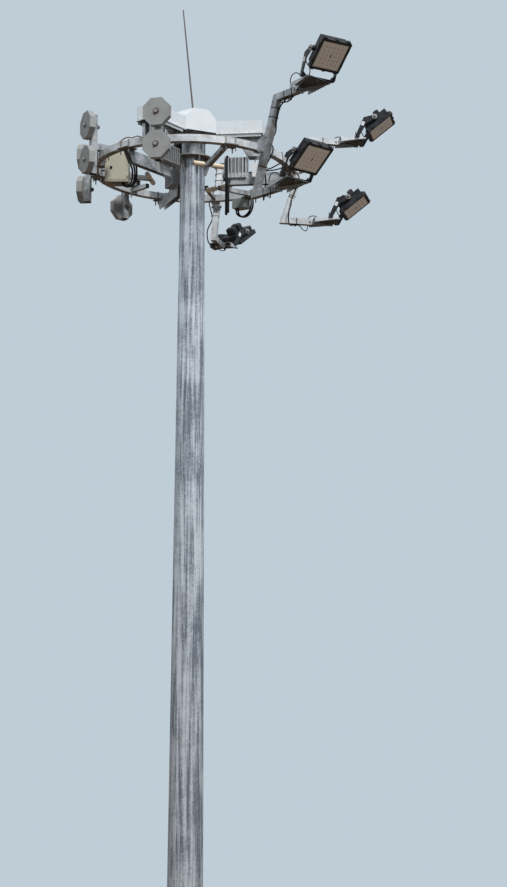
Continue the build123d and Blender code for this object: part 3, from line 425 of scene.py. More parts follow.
@dataclass(frozen=True)
class Place:
    """Origin and three square axes that carry a local shape into the tower's frame."""
    origin: Array
    x: Array
    y: Array
    z: Array

    @classmethod
    def facing(cls, origin: Array, normal: Array, hint: Array = UP) -> "Place":
        """Place whose z is the normal and whose y leans towards the hint.

        Args:
            origin: where the place's zero lies.
            normal: direction of z.
            hint: rough direction of y; an arbitrary one is used where it lies along z.

        Returns:
            The place.
        """
        z = unit(np.asarray(normal, float))
        if abs(float(z @ unit(hint))) > 0.98:
            hint = np.array((0.0, 1.0, 0.0)) if abs(z[1]) < 0.9 else np.array((1.0, 0.0, 0.0))
        x = unit(np.cross(hint, z))
        return cls(np.asarray(origin, float), x, np.cross(z, x), z)

    def carry(self, points: Array) -> Array:
        """Local points in the tower's frame."""
        return self.origin + points @ np.stack((self.x, self.y, self.z))

    def moved(self, x: float = 0.0, y: float = 0.0, z: float = 0.0) -> "Place":
        """The same axes at a point moved along them."""
        return Place(self.carry(np.array((x, y, z))), self.x, self.y, self.z)


@dataclass(frozen=True)
class Surface:
    """Points and faces of one closed form; each faces array holds loops of one length."""
    points: Array
    faces: tuple[Array, ...]
    smooth: bool = False


def grid_quads(rows: int, columns: int, closed: bool) -> Array:
    """Quads between grid points (i, j), where j wraps, and i wraps too where closed.

    Args:
        rows: number of rings.
        columns: number of points in a ring.
        closed: whether the last ring joins the first.

    Returns:
        Array of point indices, four to a face: (i, j), (i, j+1), (i+1, j+1), (i+1, j).
    """
    spans = rows if closed else rows - 1
    i, j = np.meshgrid(np.arange(spans), np.arange(columns), indexing="ij")
    right, above = (j + 1) % columns, (i + 1) % rows
    corners = (i * columns + j, i * columns + right, above * columns + right, above * columns + j)
    return np.stack(corners, axis=-1).reshape(-1, 4)


def skin(rings: Array, smooth: bool = False) -> Surface:
    """Closed form through rings of points, capped at both ends.

    Args:
        rings: array (ring, point, 3); each ring runs anticlockwise seen from the last one.
        smooth: whether the sides are shaded smooth.

    Returns:
        The surface: quads between rings and one face over each end.
    """
    count, sides = rings.shape[:2]
    ends = np.stack((np.arange(sides)[::-1], (count - 1) * sides + np.arange(sides)))
    return Surface(rings.reshape(-1, 3), (grid_quads(count, sides, False), ends), smooth)


def turned(place: Place, radii: Sequence[float], heights: Sequence[float], sides: int = 24,
           smooth: bool = True) -> Surface:
    """Solid of revolution about z: point (r cos t, r sin t, h) for each profile pair (r, h).

    Args:
        place: where the profile's zero lies.
        radii: the profile's radii from its foot to its top.
        heights: the profile's heights along z.
        sides: points round each ring.
        smooth: whether the sides are shaded smooth.

    Returns:
        The surface.
    """
    turn = np.arange(sides) * 2 * pi / sides
    radius, height = np.asarray(radii, float)[:, None], np.asarray(heights, float)[:, None]
    rings = np.stack((radius * np.cos(turn), radius * np.sin(turn), height + 0 * turn), axis=-1)
    return skin(place.carry(rings), smooth)


def annulus(place: Place, inner: float, outer: float, thickness: float, sides: int = 24,
            start: float = 0.0) -> Surface:
    """Flat ring about z: a rectangle between two radii carried round, closed on itself.

    Args:
        place: where its underside lies.
        inner: radius of the hole.
        outer: outer radius.
        thickness: height along z.
        sides: points round the ring.
        start: angle of the first point in radians.

    Returns:
        The surface.
    """
    turn = start + np.arange(sides) * 2 * pi / sides
    corners = np.array(((inner, 0.0), (outer, 0.0), (outer, thickness), (inner, thickness)))
    radius, height = corners[:, :1], corners[:, 1:]
    rings = np.stack((radius * np.cos(turn), radius * np.sin(turn), height + 0 * turn), axis=-1)
    return Surface(place.carry(rings).reshape(-1, 3), (grid_quads(4, sides, True),))


def rounded(width: float, height: float, corner: float, steps: int = 3) -> Array:
    """Outline of a rectangle with round corners: four quarter turns about the corner centres.

    Args:
        width: size along x.
        height: size along y.
        corner: corner radius.
        steps: spans in each quarter turn.

    Returns:
        Array (point, 2), anticlockwise.
    """
    turn = (np.arange(4)[:, None] + np.linspace(0.0, 1.0, steps + 1)) * pi / 2
    centre_x = np.array((1, -1, -1, 1))[:, None] * (width / 2 - corner)
    centre_y = np.array((1, 1, -1, -1))[:, None] * (height / 2 - corner)
    return np.stack((centre_x + corner * np.cos(turn), centre_y + corner * np.sin(turn)), -1).reshape(-1, 2)


def band(place: Place, low: Sequence[float], high: Sequence[float], width: float,
         wall: float = 0.0016) -> Surface:
    """Strap round a rectangle of the place's xy plane: two rounded outlines carried up by its width.

    Args:
        place: where the strap's lower edge lies.
        low: least x and y of what it holds.
        high: greatest x and y of what it holds.
        width: height of the strap along z.
        wall: thickness of the strap.

    Returns:
        The surface.
    """
    low, high = np.asarray(low, float), np.asarray(high, float)
    inner = rounded(*(high - low), 0.004) + (low + high) / 2
    outer = rounded(*(high - low + 2 * wall), 0.004 + wall) + (low + high) / 2
    levels = ((inner, 0.0), (outer, 0.0), (outer, width), (inner, width))
    rings = np.stack([np.c_[ring, np.full(len(ring), level)] for ring, level in levels])
    return Surface(place.carry(rings).reshape(-1, 3), (grid_quads(4, len(inner), True),))


def plate(place: Place, width: float, height: float, thickness: float, corner: float = 0.002,
          bevel: float = 0.0) -> Surface:
    """Flat plate that stands on the place's xy plane, with round corners and a bevelled top edge.

    Args:
        place: centre of its back face.
        width: size along x.
        height: size along y.
        thickness: size along z.
        corner: corner radius.
        bevel: inset and depth of the top edge's bevel.

    Returns:
        The surface.
    """
    outline = rounded(width, height, corner)
    shrink = 1 - 2 * bevel / np.array((width, height))
    levels = ((outline, 0.0), (outline, thickness - bevel), (outline * shrink, thickness))
    rings = np.stack([np.c_[ring, np.full(len(ring), level)] for ring, level in levels])
    return skin(place.carry(rings))


def carried(line: Array, radius: Union[float, Array], sides: int = 10) -> Surface:
    """Round tube along a line of points.

    Each ring lies in the plane of two vectors square to the line's tangent, found from one
    reference direction: the one that the tangents lean towards least.

    Args:
        line: array (point, 3).
        radius: one radius, or one for each point.
        sides: points round the tube.

    Returns:
        The surface.
    """
    tangents = np.gradient(line, axis=0)
    tangents /= np.linalg.norm(tangents, axis=1, keepdims=True)
    reference = np.linalg.svd(tangents, full_matrices=True)[2][-1]
    side = np.cross(tangents, reference)
    side /= np.linalg.norm(side, axis=1, keepdims=True)
    above = np.cross(tangents, side)
    turn = np.arange(sides) * 2 * pi / sides
    size = np.broadcast_to(radius, (len(line),))[:, None, None]
    ring = side[:, None] * np.cos(turn)[None, :, None] + above[:, None] * np.sin(turn)[None, :, None]
    return skin(line[:, None] + size * ring, smooth=True)


def smooth_line(route: Iterable[Array], steps: int = 5) -> Array:
    """Points along the NURBS line of order 3 whose control points are the route.

    Args:
        route: control points from end to end.
        steps: points for each control point.

    Returns:
        Array (point, 3).
    """
    points = np.asarray(list(route), float)
    curve = bpy.data.curves.new("route", "CURVE")
    curve.dimensions = "3D"
    curve.resolution_u = steps
    spline = curve.splines.new("NURBS")
    spline.points.add(len(points) - 1)
    spline.points.foreach_set("co", np.c_[points, np.ones(len(points))].ravel())
    spline.order_u = 3
    spline.use_endpoint_u = True
    holder = bpy.data.objects.new("route", curve)
    mesh = bpy.data.meshes.new_from_object(holder)
    line = np.empty(len(mesh.vertices) * 3)
    mesh.vertices.foreach_get("co", line)
    bpy.data.objects.remove(holder)
    bpy.data.curves.remove(curve)
    bpy.data.meshes.remove(mesh)
    return line.reshape(-1, 3)


def make_piece(name: str, surfaces: Sequence[Surface], paint: Paint, body: Optional[str]) -> bpy.types.Object:
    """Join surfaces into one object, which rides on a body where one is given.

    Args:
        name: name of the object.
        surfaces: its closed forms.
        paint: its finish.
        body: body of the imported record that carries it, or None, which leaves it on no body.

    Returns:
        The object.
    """
    points = np.concatenate([surface.points for surface in surfaces])
    firsts = np.cumsum([0] + [len(surface.points) for surface in surfaces[:-1]])
    loops, sizes, shading = [], [], []
    for surface, first in zip(surfaces, firsts):
        for number, faces in enumerate(surface.faces):
            loops.append((faces + first).ravel())
            sizes.append(np.full(len(faces), faces.shape[1]))
            shading.append(np.full(len(faces), surface.smooth and number == 0))
    corners, counts = np.concatenate(loops), np.concatenate(sizes)
    mesh = bpy.data.meshes.new(name)
    mesh.vertices.add(len(points))
    mesh.vertices.foreach_set("co", points.astype(np.float32).ravel())
    mesh.loops.add(len(corners))
    mesh.loops.foreach_set("vertex_index", corners.astype(np.int32))
    mesh.polygons.add(len(counts))
    mesh.polygons.foreach_set("loop_start", np.r_[0, np.cumsum(counts)[:-1]].astype(np.int32))
    mesh.polygons.foreach_set("use_smooth", np.concatenate(shading))
    mesh.materials.append(paint.material())
    mesh.update(calc_edges=True)
    mesh.validate()
    piece = bpy.data.objects.new(name, mesh)
    bpy.context.scene.collection.objects.link(piece)
    if body:
        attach(piece, body)
    LOG.info("%s: %d faces on %s", name, len(counts), body)
    return piece


@dataclass(frozen=True)
class Cord:
    """One cable or hose: its route's control points, what it is made of and what it hangs between."""
    name: str
    route: Sequence[Array]
    diameter: float
    body: str = CARRIAGE
    onto: str = ""
    turning: tuple[int, int] = (0, -1)
    far_end: str = "object"
    lay: str = "hanging"
    stiffness: str = "medium"
    paint: Paint = Paint.RUBBER

    def make(self) -> None:
        line = smooth_line(self.route)
        tube = carried(line, self.diameter / 2)
        carrier = None if self.onto else self.body
        piece = make_piece(self.name, [tube], self.paint, carrier)
        if self.onto:
            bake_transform(piece)


@dataclass(frozen=True)
class Thread:
    """Metric bolt, nut and washer; all but the size and the chamfer are shares of the thread's diameter."""
    size: float
    half_flats: float = 0.78
    washer: float = 0.16
    head_height: float = 0.65
    nut_height: float = 0.80
    chamfer: float = 30.0

    def hexagon(self, place: Place, height: float) -> Surface:
        """Chamfered hexagon: its radius is a / cos(t), folded every 60 degrees, and its corners drop.

        Args:
            place: where the hexagon stands.
            height: its size along z.

        Returns:
            The surface.
        """
        turn = np.arange(12) * pi / 6
        half = self.half_flats * self.size
        radius = half / np.cos((turn + pi / 6) % (pi / 3) - pi / 6)
        drop = (radius - half) * tan(radians(self.chamfer))
        crown = np.full(12, 0.9 * half)
        levels = ((radius, 0.0 * turn), (radius, height - drop), (crown, np.full(12, height)))
        rings = np.stack([np.stack((r * np.cos(turn), r * np.sin(turn), h), -1) for r, h in levels])
        return skin(place.carry(rings))

    def stack(self, place: Place, height: float) -> list[Surface]:
        """Washer on the place and a hexagon on the washer.

        Args:
            place: where the washer lies.
            height: the hexagon's height as a share of the diameter.

        Returns:
            The two surfaces.
        """
        rise = self.washer * self.size
        flat = turned(place, (self.size, self.size), (0.0, rise), 16, smooth=False)
        return [flat, self.hexagon(place.moved(z=rise), height * self.size)]

    def head(self, place: Place) -> list[Surface]:
        """Washer and bolt head that stand on the place."""
        return self.stack(place, self.head_height)

    def nut(self, place: Place, tail: float) -> list[Surface]:
        """Washer and nut on the place, and the thread's chamfered end beyond them.

        Args:
            place: where the washer lies.
            tail: length of thread that stands out of the nut.

        Returns:
            The three surfaces.
        """
        end = (self.washer + self.nut_height) * self.size + tail
        radius = self.size / 2
        thread = turned(place, (radius, radius, 0.8 * radius), (0.0, end - 0.2 * radius, end), 12)
        return self.stack(place, self.nut_height) + [thread]


# The tower's own sizes, as in the part's source

@dataclass(frozen=True)
class Tower:
    """Sizes that the part's source and this script share."""
    ring_z: float = 29.150
    ring_radius: float = 0.965
    guide_angles: tuple[float, ...] = (-66.5, 53.5, 173.5)
    head_angles: tuple[float, ...] = (-6.5, 113.5, 233.5)
    saddle_bottom: float = -0.0413
    post_tube: float = 0.060

    def point(self, angle: float, radius: float, height: float = 0.0, side: float = 0.0) -> Array:
        """Point at an angle and radius, at a height above the ring's middle, moved sideways by side."""
        return outward(angle) * radius + outward(angle + 90) * side + UP * (self.ring_z + height)


TOWER = Tower()


@dataclass(frozen=True)
class Post:
    """Leaning light post with two level arms."""
    number: int
    angle: float
    top_height: float = 0.413
    foot_height: float = -0.443
    top_radius: float = 1.223
    foot_radius: float = 0.939
    top_end: float = 1.512
    low_end: float = 1.237

    def radius(self, height: float) -> float:
        """Radius of the post's centre line at a height."""
        share = (height - self.foot_height) / (self.top_height - self.foot_height)
        return self.foot_radius + share * (self.top_radius - self.foot_radius)

    def slope(self) -> Array:
        """Unit vector up along the post."""
        rise = UP * (self.top_height - self.foot_height)
        return unit(rise + outward(self.angle) * (self.top_radius - self.foot_radius))


@dataclass(frozen=True)
class Lamp:
    """One floodlight on its yoke and bracket."""
    number: int
    post: Post
    low: bool
    aim: float
    tilt: float = -53.5
    foot_reach: float = 0.2303
    foot_rise: float = 0.0303
    pivot_reach: float = 0.181
    pivot_height: float = 0.193
    face_offset: float = 0.085
    frame_size: float = 0.302
    leg_inner: float = 0.1634
    sheet: float = 0.008
    recess: float = 0.002

    def arm_height(self) -> float:
        """Height of the arm that carries the lamp."""
        return self.post.foot_height if self.low else self.post.top_height

    def arm_end(self) -> float:
        """Radius of that arm's end."""
        return self.post.low_end if self.low else self.post.top_end

    def bracket(self, along: float, side: float, height: float) -> Array:
        """Point on the bracket, from the arm's end outward, sideways and above the arm's middle."""
        return TOWER.point(self.post.angle, self.arm_end() + along, self.arm_height() + height, side)

    def foot(self) -> Array:
        """Centre of the yoke's foot on the bracket."""
        return self.bracket(self.foot_reach, 0.0, self.foot_rise)

    def forward(self) -> Array:
        """Level direction in which the lamp looks."""
        return outward(self.aim)

    def across(self) -> Array:
        """Direction of the tilt axis."""
        return outward(self.aim + 90)

    def yoke(self, forward: float, side: float, height: float) -> Array:
        """Point in the yoke's own frame: forward, across and above its foot."""
        return self.foot() + self.forward() * forward + self.across() * side + UP * height

    def pivot(self) -> Array:
        """Middle of the tilt axis."""
        return self.yoke(self.pivot_reach, 0.0, self.pivot_height)

    def face(self) -> Place:
        """Place on the lamp's front: x along the tilt axis, z outward through the lens.

        Returns:
            The place.
        """
        tilt, across = radians(self.tilt), self.across()
        normal = self.forward() * cos(tilt) + UP * sin(tilt)
        return Place(self.pivot() + normal * self.face_offset, across, np.cross(normal, across), normal)


POSTS = (Post(1, -47.5), Post(2, 12.5), Post(3, 78.5))
LAMPS = (Lamp(1, POSTS[0], False, -62.5), Lamp(2, POSTS[1], False, -13.0), Lamp(3, POSTS[0], True, -52.0),
         Lamp(4, POSTS[1], True, -15.0), Lamp(5, POSTS[2], True, 47.0), Lamp(6, POSTS[2], False, 90.0))


# Sub-assemblies

@dataclass(frozen=True)
class MastTrim:
    """Anchor bolts, door locks and hinges, and the bolts of the head plate."""
    bolt_circle: float = 0.410
    flange_top: float = 0.032
    anchors: int = 16
    anchor_tail: float = 0.030
    anchor: Thread = Thread(0.036)
    head_bolt: Thread = Thread(0.016)
    head_circle: float = 0.155
    head_top: float = 0.124
    lock_radius: float = 0.016
    lock_spread: float = 0.24

    def anchor_bolts(self) -> list[Surface]:
        """A washer, nut and thread end on each hole of the flange.

        Returns:
            The piece's closed forms.
        """
        parts: list[Surface] = []
        for turn in range(self.anchors):
            angle = (turn + 0.5) * 360 / self.anchors
            place = Place.facing(outward(angle) * self.bolt_circle + UP * self.flange_top, UP)
            parts += self.anchor.nut(place, self.anchor_tail)
        return parts

    def head_bolts(self) -> list[Surface]:
        """Bolts through the head plate, midway between its gussets.

        Returns:
            The piece's closed forms.
        """
        parts: list[Surface] = []
        for turn in range(6):
            angle = TOWER.guide_angles[0] + 30 + 60 * turn
            spot = TOWER.point(angle, self.head_circle, self.head_top)
            parts += self.head_bolt.head(Place.facing(spot, UP))
        return parts

    def door_trim(self) -> list[Surface]:
        """Two key locks on the door's left and two hinge knuckles on its right.

        Returns:
            The piece's closed forms.
        """
        low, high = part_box("mast_door")
        middle = (low[2] + high[2]) / 2
        parts: list[Surface] = []
        for height in (middle - self.lock_spread, middle + self.lock_spread):
            lock = Place.facing(np.array((low[0] + 0.030, low[1], height)), (0.0, -1.0, 0.0))
            profile = (self.lock_radius, self.lock_radius, 0.75 * self.lock_radius)
            parts.append(turned(lock, profile, (0.0, 0.006, 0.009)))
            parts.append(Thread(0.008).hexagon(lock.moved(z=0.009), 0.006))
            hinge = Place.facing(np.array((high[0] - 0.012, low[1] - 0.006, height - 0.035)), UP)
            parts.append(turned(hinge, (0.005, 0.007, 0.007, 0.005), (0.0, 0.003, 0.067, 0.070), 16))
        return parts

    def build(self) -> None:
        """Make the pieces that stay with the mast."""
        make_piece("anchor_bolts", self.anchor_bolts(), Paint.BOLT, MAST)
        make_piece("head_bolts", self.head_bolts(), Paint.BOLT, MAST)
        make_piece("door_trim", self.door_trim(), Paint.BOLT, MAST)


@dataclass(frozen=True)
class HeadTrim:
    """Bolts of the docking guides and sheaves, rubber stops, and the canopies' sheet screws and rails."""
    plate_face: float = 0.0613
    sheave_radius: float = 0.560
    sheave_height: float = 0.3883
    dock_bolt_height: float = 0.402
    stop_radius: float = 0.690
    pin: Thread = Thread(0.024)
    bolt: Thread = Thread(0.012)
    canopy_half: float = 0.115
    canopy_low: float = 0.350
    canopy_reach: float = 0.712
    screw_radius: float = 0.004
    rail_middle: float = 0.495
    rail_height: float = 0.320
    rail_side: float = 0.1087
    rail_size: Point = (0.410, 0.042, 0.003)

    def bolts(self) -> list[Surface]:
        """Sheave pins' ends and the docking guides' bolts on both cheeks of each arm.

        Returns:
            The piece's closed forms.
        """
        parts: list[Surface] = []
        for angle in TOWER.head_angles:
            for side in (-1, 1):
                normal = outward(angle + 90) * side
                centre = TOWER.point(angle, self.sheave_radius, self.sheave_height, side * self.plate_face)
                parts += self.pin.nut(Place.facing(centre, normal), 0.006)
                for radius in (0.475, 0.515, 0.605, 0.650):
                    spot = TOWER.point(angle, radius, self.dock_bolt_height, side * self.plate_face)
                    parts += self.bolt.head(Place.facing(spot, normal))
        return parts

    def stops(self) -> list[Surface]:
        """Rubber buffers on the guides' outer flanges, one high and one low.

        Returns:
            The piece's closed forms.
        """
        parts: list[Surface] = []
        for angle in TOWER.head_angles:
            for side, height in ((-0.043, 0.315), (0.043, 0.170)):
                place = Place.facing(TOWER.point(angle, self.stop_radius, height, side), outward(angle))
                parts.append(turned(place, (0.011, 0.016, 0.018, 0.012), (0.0, 0.010, 0.022, 0.028)))
        return parts

    def screws(self) -> list[Surface]:
        """Sheet screws along both sides of each canopy and on its end.

        Returns:
            The piece's closed forms.
        """
        parts: list[Surface] = []
        flange = 1.5 * self.screw_radius
        profile, rise = (flange, flange, self.screw_radius), (0.0, 0.0012, 0.005)
        for angle in TOWER.head_angles:
            for side in (-1, 1):
                for radius in np.linspace(0.29, 0.68, 5):
                    spot = TOWER.point(angle, radius, self.canopy_low, side * self.canopy_half)
                    parts.append(turned(Place.facing(spot, outward(angle + 90) * side), profile, rise, 10))
            for side in (-0.085, 0.085):
                spot = TOWER.point(angle, self.canopy_reach, self.canopy_low, side)
                parts.append(turned(Place.facing(spot, outward(angle)), profile, rise, 10))
        return parts

    def rails(self) -> list[Surface]:
        """Flat rails on the inner faces of each canopy's sides, which show below its lips.

        Returns:
            The piece's closed forms.
        """
        parts: list[Surface] = []
        for angle in TOWER.head_angles:
            for side in (-1, 1):
                middle = TOWER.point(angle, self.rail_middle, self.rail_height, side * self.rail_side)
                place = Place.facing(middle, outward(angle + 90) * side)
                parts.append(plate(place, *self.rail_size, 0.002, 0.0008))
        return parts

    def build(self) -> None:
        """Make the pieces that stay with the head."""
        make_piece("head_arm_bolts", self.bolts(), Paint.BOLT, MAST)
        make_piece("docking_stops", self.stops(), Paint.RUBBER, MAST)
        make_piece("canopy_screws", self.screws(), Paint.SHEET, MAST)
        make_piece("canopy_rails", self.rails(), Paint.SHEET, MAST)


@dataclass(frozen=True)
class RingTrim:
    """Strap studs under the ring, bolts and rods of the weights and posts, axle washers and tube caps."""
    strap_offset: float = 0.0358
    strap_half_angle: float = 2.7313
    stud: Thread = Thread(0.012)
    stud_tail: float = 0.040
    cheek_bolt: Thread = Thread(0.016)
    cheek_face: float = 0.038
    weight_angles: tuple[float, ...] = (-104.0, -150.0, 173.5, 135.0)
    weight_lows: tuple[float, ...] = (-0.101, -0.074, -0.159, -0.153)
    weight_pitches: tuple[float, ...] = (0.303, 0.337, 0.330, 0.330)
    weight_radius: float = 1.068
    weight_bolt: Thread = Thread(0.024)
    rod: float = 0.008
    axle_radius: float = 0.430
    axle_height: float = -0.062
    axle_face: float = 0.1575
    bolt_spread: float = 0.065
    saddle_offset: float = 0.043
    saddle_half: float = 0.0345
    saddle_foot: float = 0.066
    saddle_rise: float = 0.0318
    saddle_power: float = 0.35

    def strap_studs(self) -> list[Surface]:
        """Stud ends and nuts under each leg of each strap.

        Returns:
            The piece's closed forms.
        """
        parts: list[Surface] = []
        for angle in TOWER.guide_angles + TOWER.head_angles:
            for turn in (-self.strap_half_angle, self.strap_half_angle):
                for offset in (-self.strap_offset, self.strap_offset):
                    spot = TOWER.point(angle + turn, TOWER.ring_radius + offset, TOWER.saddle_bottom)
                    parts += self.stud.nut(Place.facing(spot, -UP), self.stud_tail)
        return parts

    def post_bolts(self) -> list[Surface]:
        """Bolts through the two cheeks of each light post, with nuts on the far side.

        Returns:
            The piece's closed forms.
        """
        parts: list[Surface] = []
        for post in POSTS:
            for height in (-self.bolt_spread, self.bolt_spread):
                for side in (-1, 1):
                    spot = TOWER.point(post.angle, post.radius(height), height, side * self.cheek_face)
                    place = Place.facing(spot, outward(post.angle + 90) * side)
                    parts += self.cheek_bolt.head(place) if side < 0 else self.cheek_bolt.nut(place, 0.008)
        return parts

    def weight_nuts(self) -> list[Surface]:
        """Nuts on the ring's side of the weight posts, and broad washers outside the weights.

        Returns:
            The piece's closed forms.
        """
        parts: list[Surface] = []
        for angle, low, pitch in zip(self.weight_angles, self.weight_lows, self.weight_pitches):
            for height in (low, low + pitch):
                back = TOWER.point(angle, self.weight_radius - TOWER.post_tube / 2, height)
                parts += self.weight_bolt.nut(Place.facing(back, -outward(angle)), 0.008)
                front = TOWER.point(angle, self.weight_radius + TOWER.post_tube / 2 + 0.0583, height)
                parts.append(annulus(Place.facing(front, outward(angle)), 0.0172, 0.030, 0.003))
        return parts

    def saddle_rods(self) -> list[Surface]:
        """Two bent rods over each weight's stub tube, with their ends down beside the ring.

        The bend is half a superellipse: side and height follow a small power of cos t and sin t.

        Returns:
            The piece's closed forms.
        """
        half, turn = self.saddle_half, np.linspace(0.0, pi, 13)
        side = half * np.sign(np.cos(turn)) * np.abs(np.cos(turn)) ** self.saddle_power
        height = self.saddle_foot + self.saddle_rise * np.abs(np.sin(turn)) ** self.saddle_power
        parts: list[Surface] = []
        for angle in self.weight_angles:
            for radius in (TOWER.ring_radius - self.saddle_offset, TOWER.ring_radius + self.saddle_offset):
                arch = np.stack([TOWER.point(angle, radius, h, s) for s, h in zip(side, height)])
                ends = [TOWER.point(angle, radius, -0.058, s) for s in (half, -half)]
                line = np.concatenate(([ends[0]], arch, [ends[1]]))
                parts.append(carried(line, self.rod / 2, 8))
                for end in ends:
                    parts += Thread(self.rod).nut(Place.facing(end + UP * 0.018, -UP), 0.006)
        return parts

    def axle_washers(self) -> list[Surface]:
        """Washers on the guide axles outside the rollers.

        Returns:
            The piece's closed forms.
        """
        parts: list[Surface] = []
        for angle in TOWER.guide_angles:
            for side in (-1, 1):
                spot = TOWER.point(angle, self.axle_radius, self.axle_height, side * self.axle_face)
                place = Place.facing(spot, outward(angle + 90) * side)
                parts.append(annulus(place, 0.0083, 0.014, 0.003, 16))
        return parts

    def tube_caps(self) -> list[Surface]:
        """Black end caps on the stub tubes inside the ring and on both ends of the weight posts.

        Returns:
            The piece's closed forms.
        """
        parts: list[Surface] = []
        for angle, radius in ((135.0, 0.702), (78.5, 0.562)):
            place = Place.facing(TOWER.point(angle, radius), -outward(angle))
            parts.append(plate(place, 0.042, 0.042, 0.006, 0.004, 0.002))
        for angle, low, pitch in zip(self.weight_angles, self.weight_lows, self.weight_pitches):
            for height, normal in ((low - 0.128, -UP), (low + pitch + 0.105, UP)):
                end = TOWER.point(angle, self.weight_radius, height)
                place = Place.facing(end, normal, outward(angle))
                parts.append(plate(place, TOWER.post_tube, TOWER.post_tube, 0.004, 0.004, 0.002))
        return parts

    def build(self) -> None:
        """Make the pieces that ride on the carriage."""
        make_piece("strap_studs", self.strap_studs(), Paint.BOLT, CARRIAGE)
        make_piece("post_bolts", self.post_bolts(), Paint.BOLT, CARRIAGE)
        make_piece("weight_nuts", self.weight_nuts(), Paint.ROD, CARRIAGE)
        make_piece("saddle_rods", self.saddle_rods(), Paint.BOLT, CARRIAGE)
        make_piece("axle_washers", self.axle_washers(), Paint.BOLT, CARRIAGE)
        make_piece("tube_caps", self.tube_caps(), Paint.RUBBER, CARRIAGE)


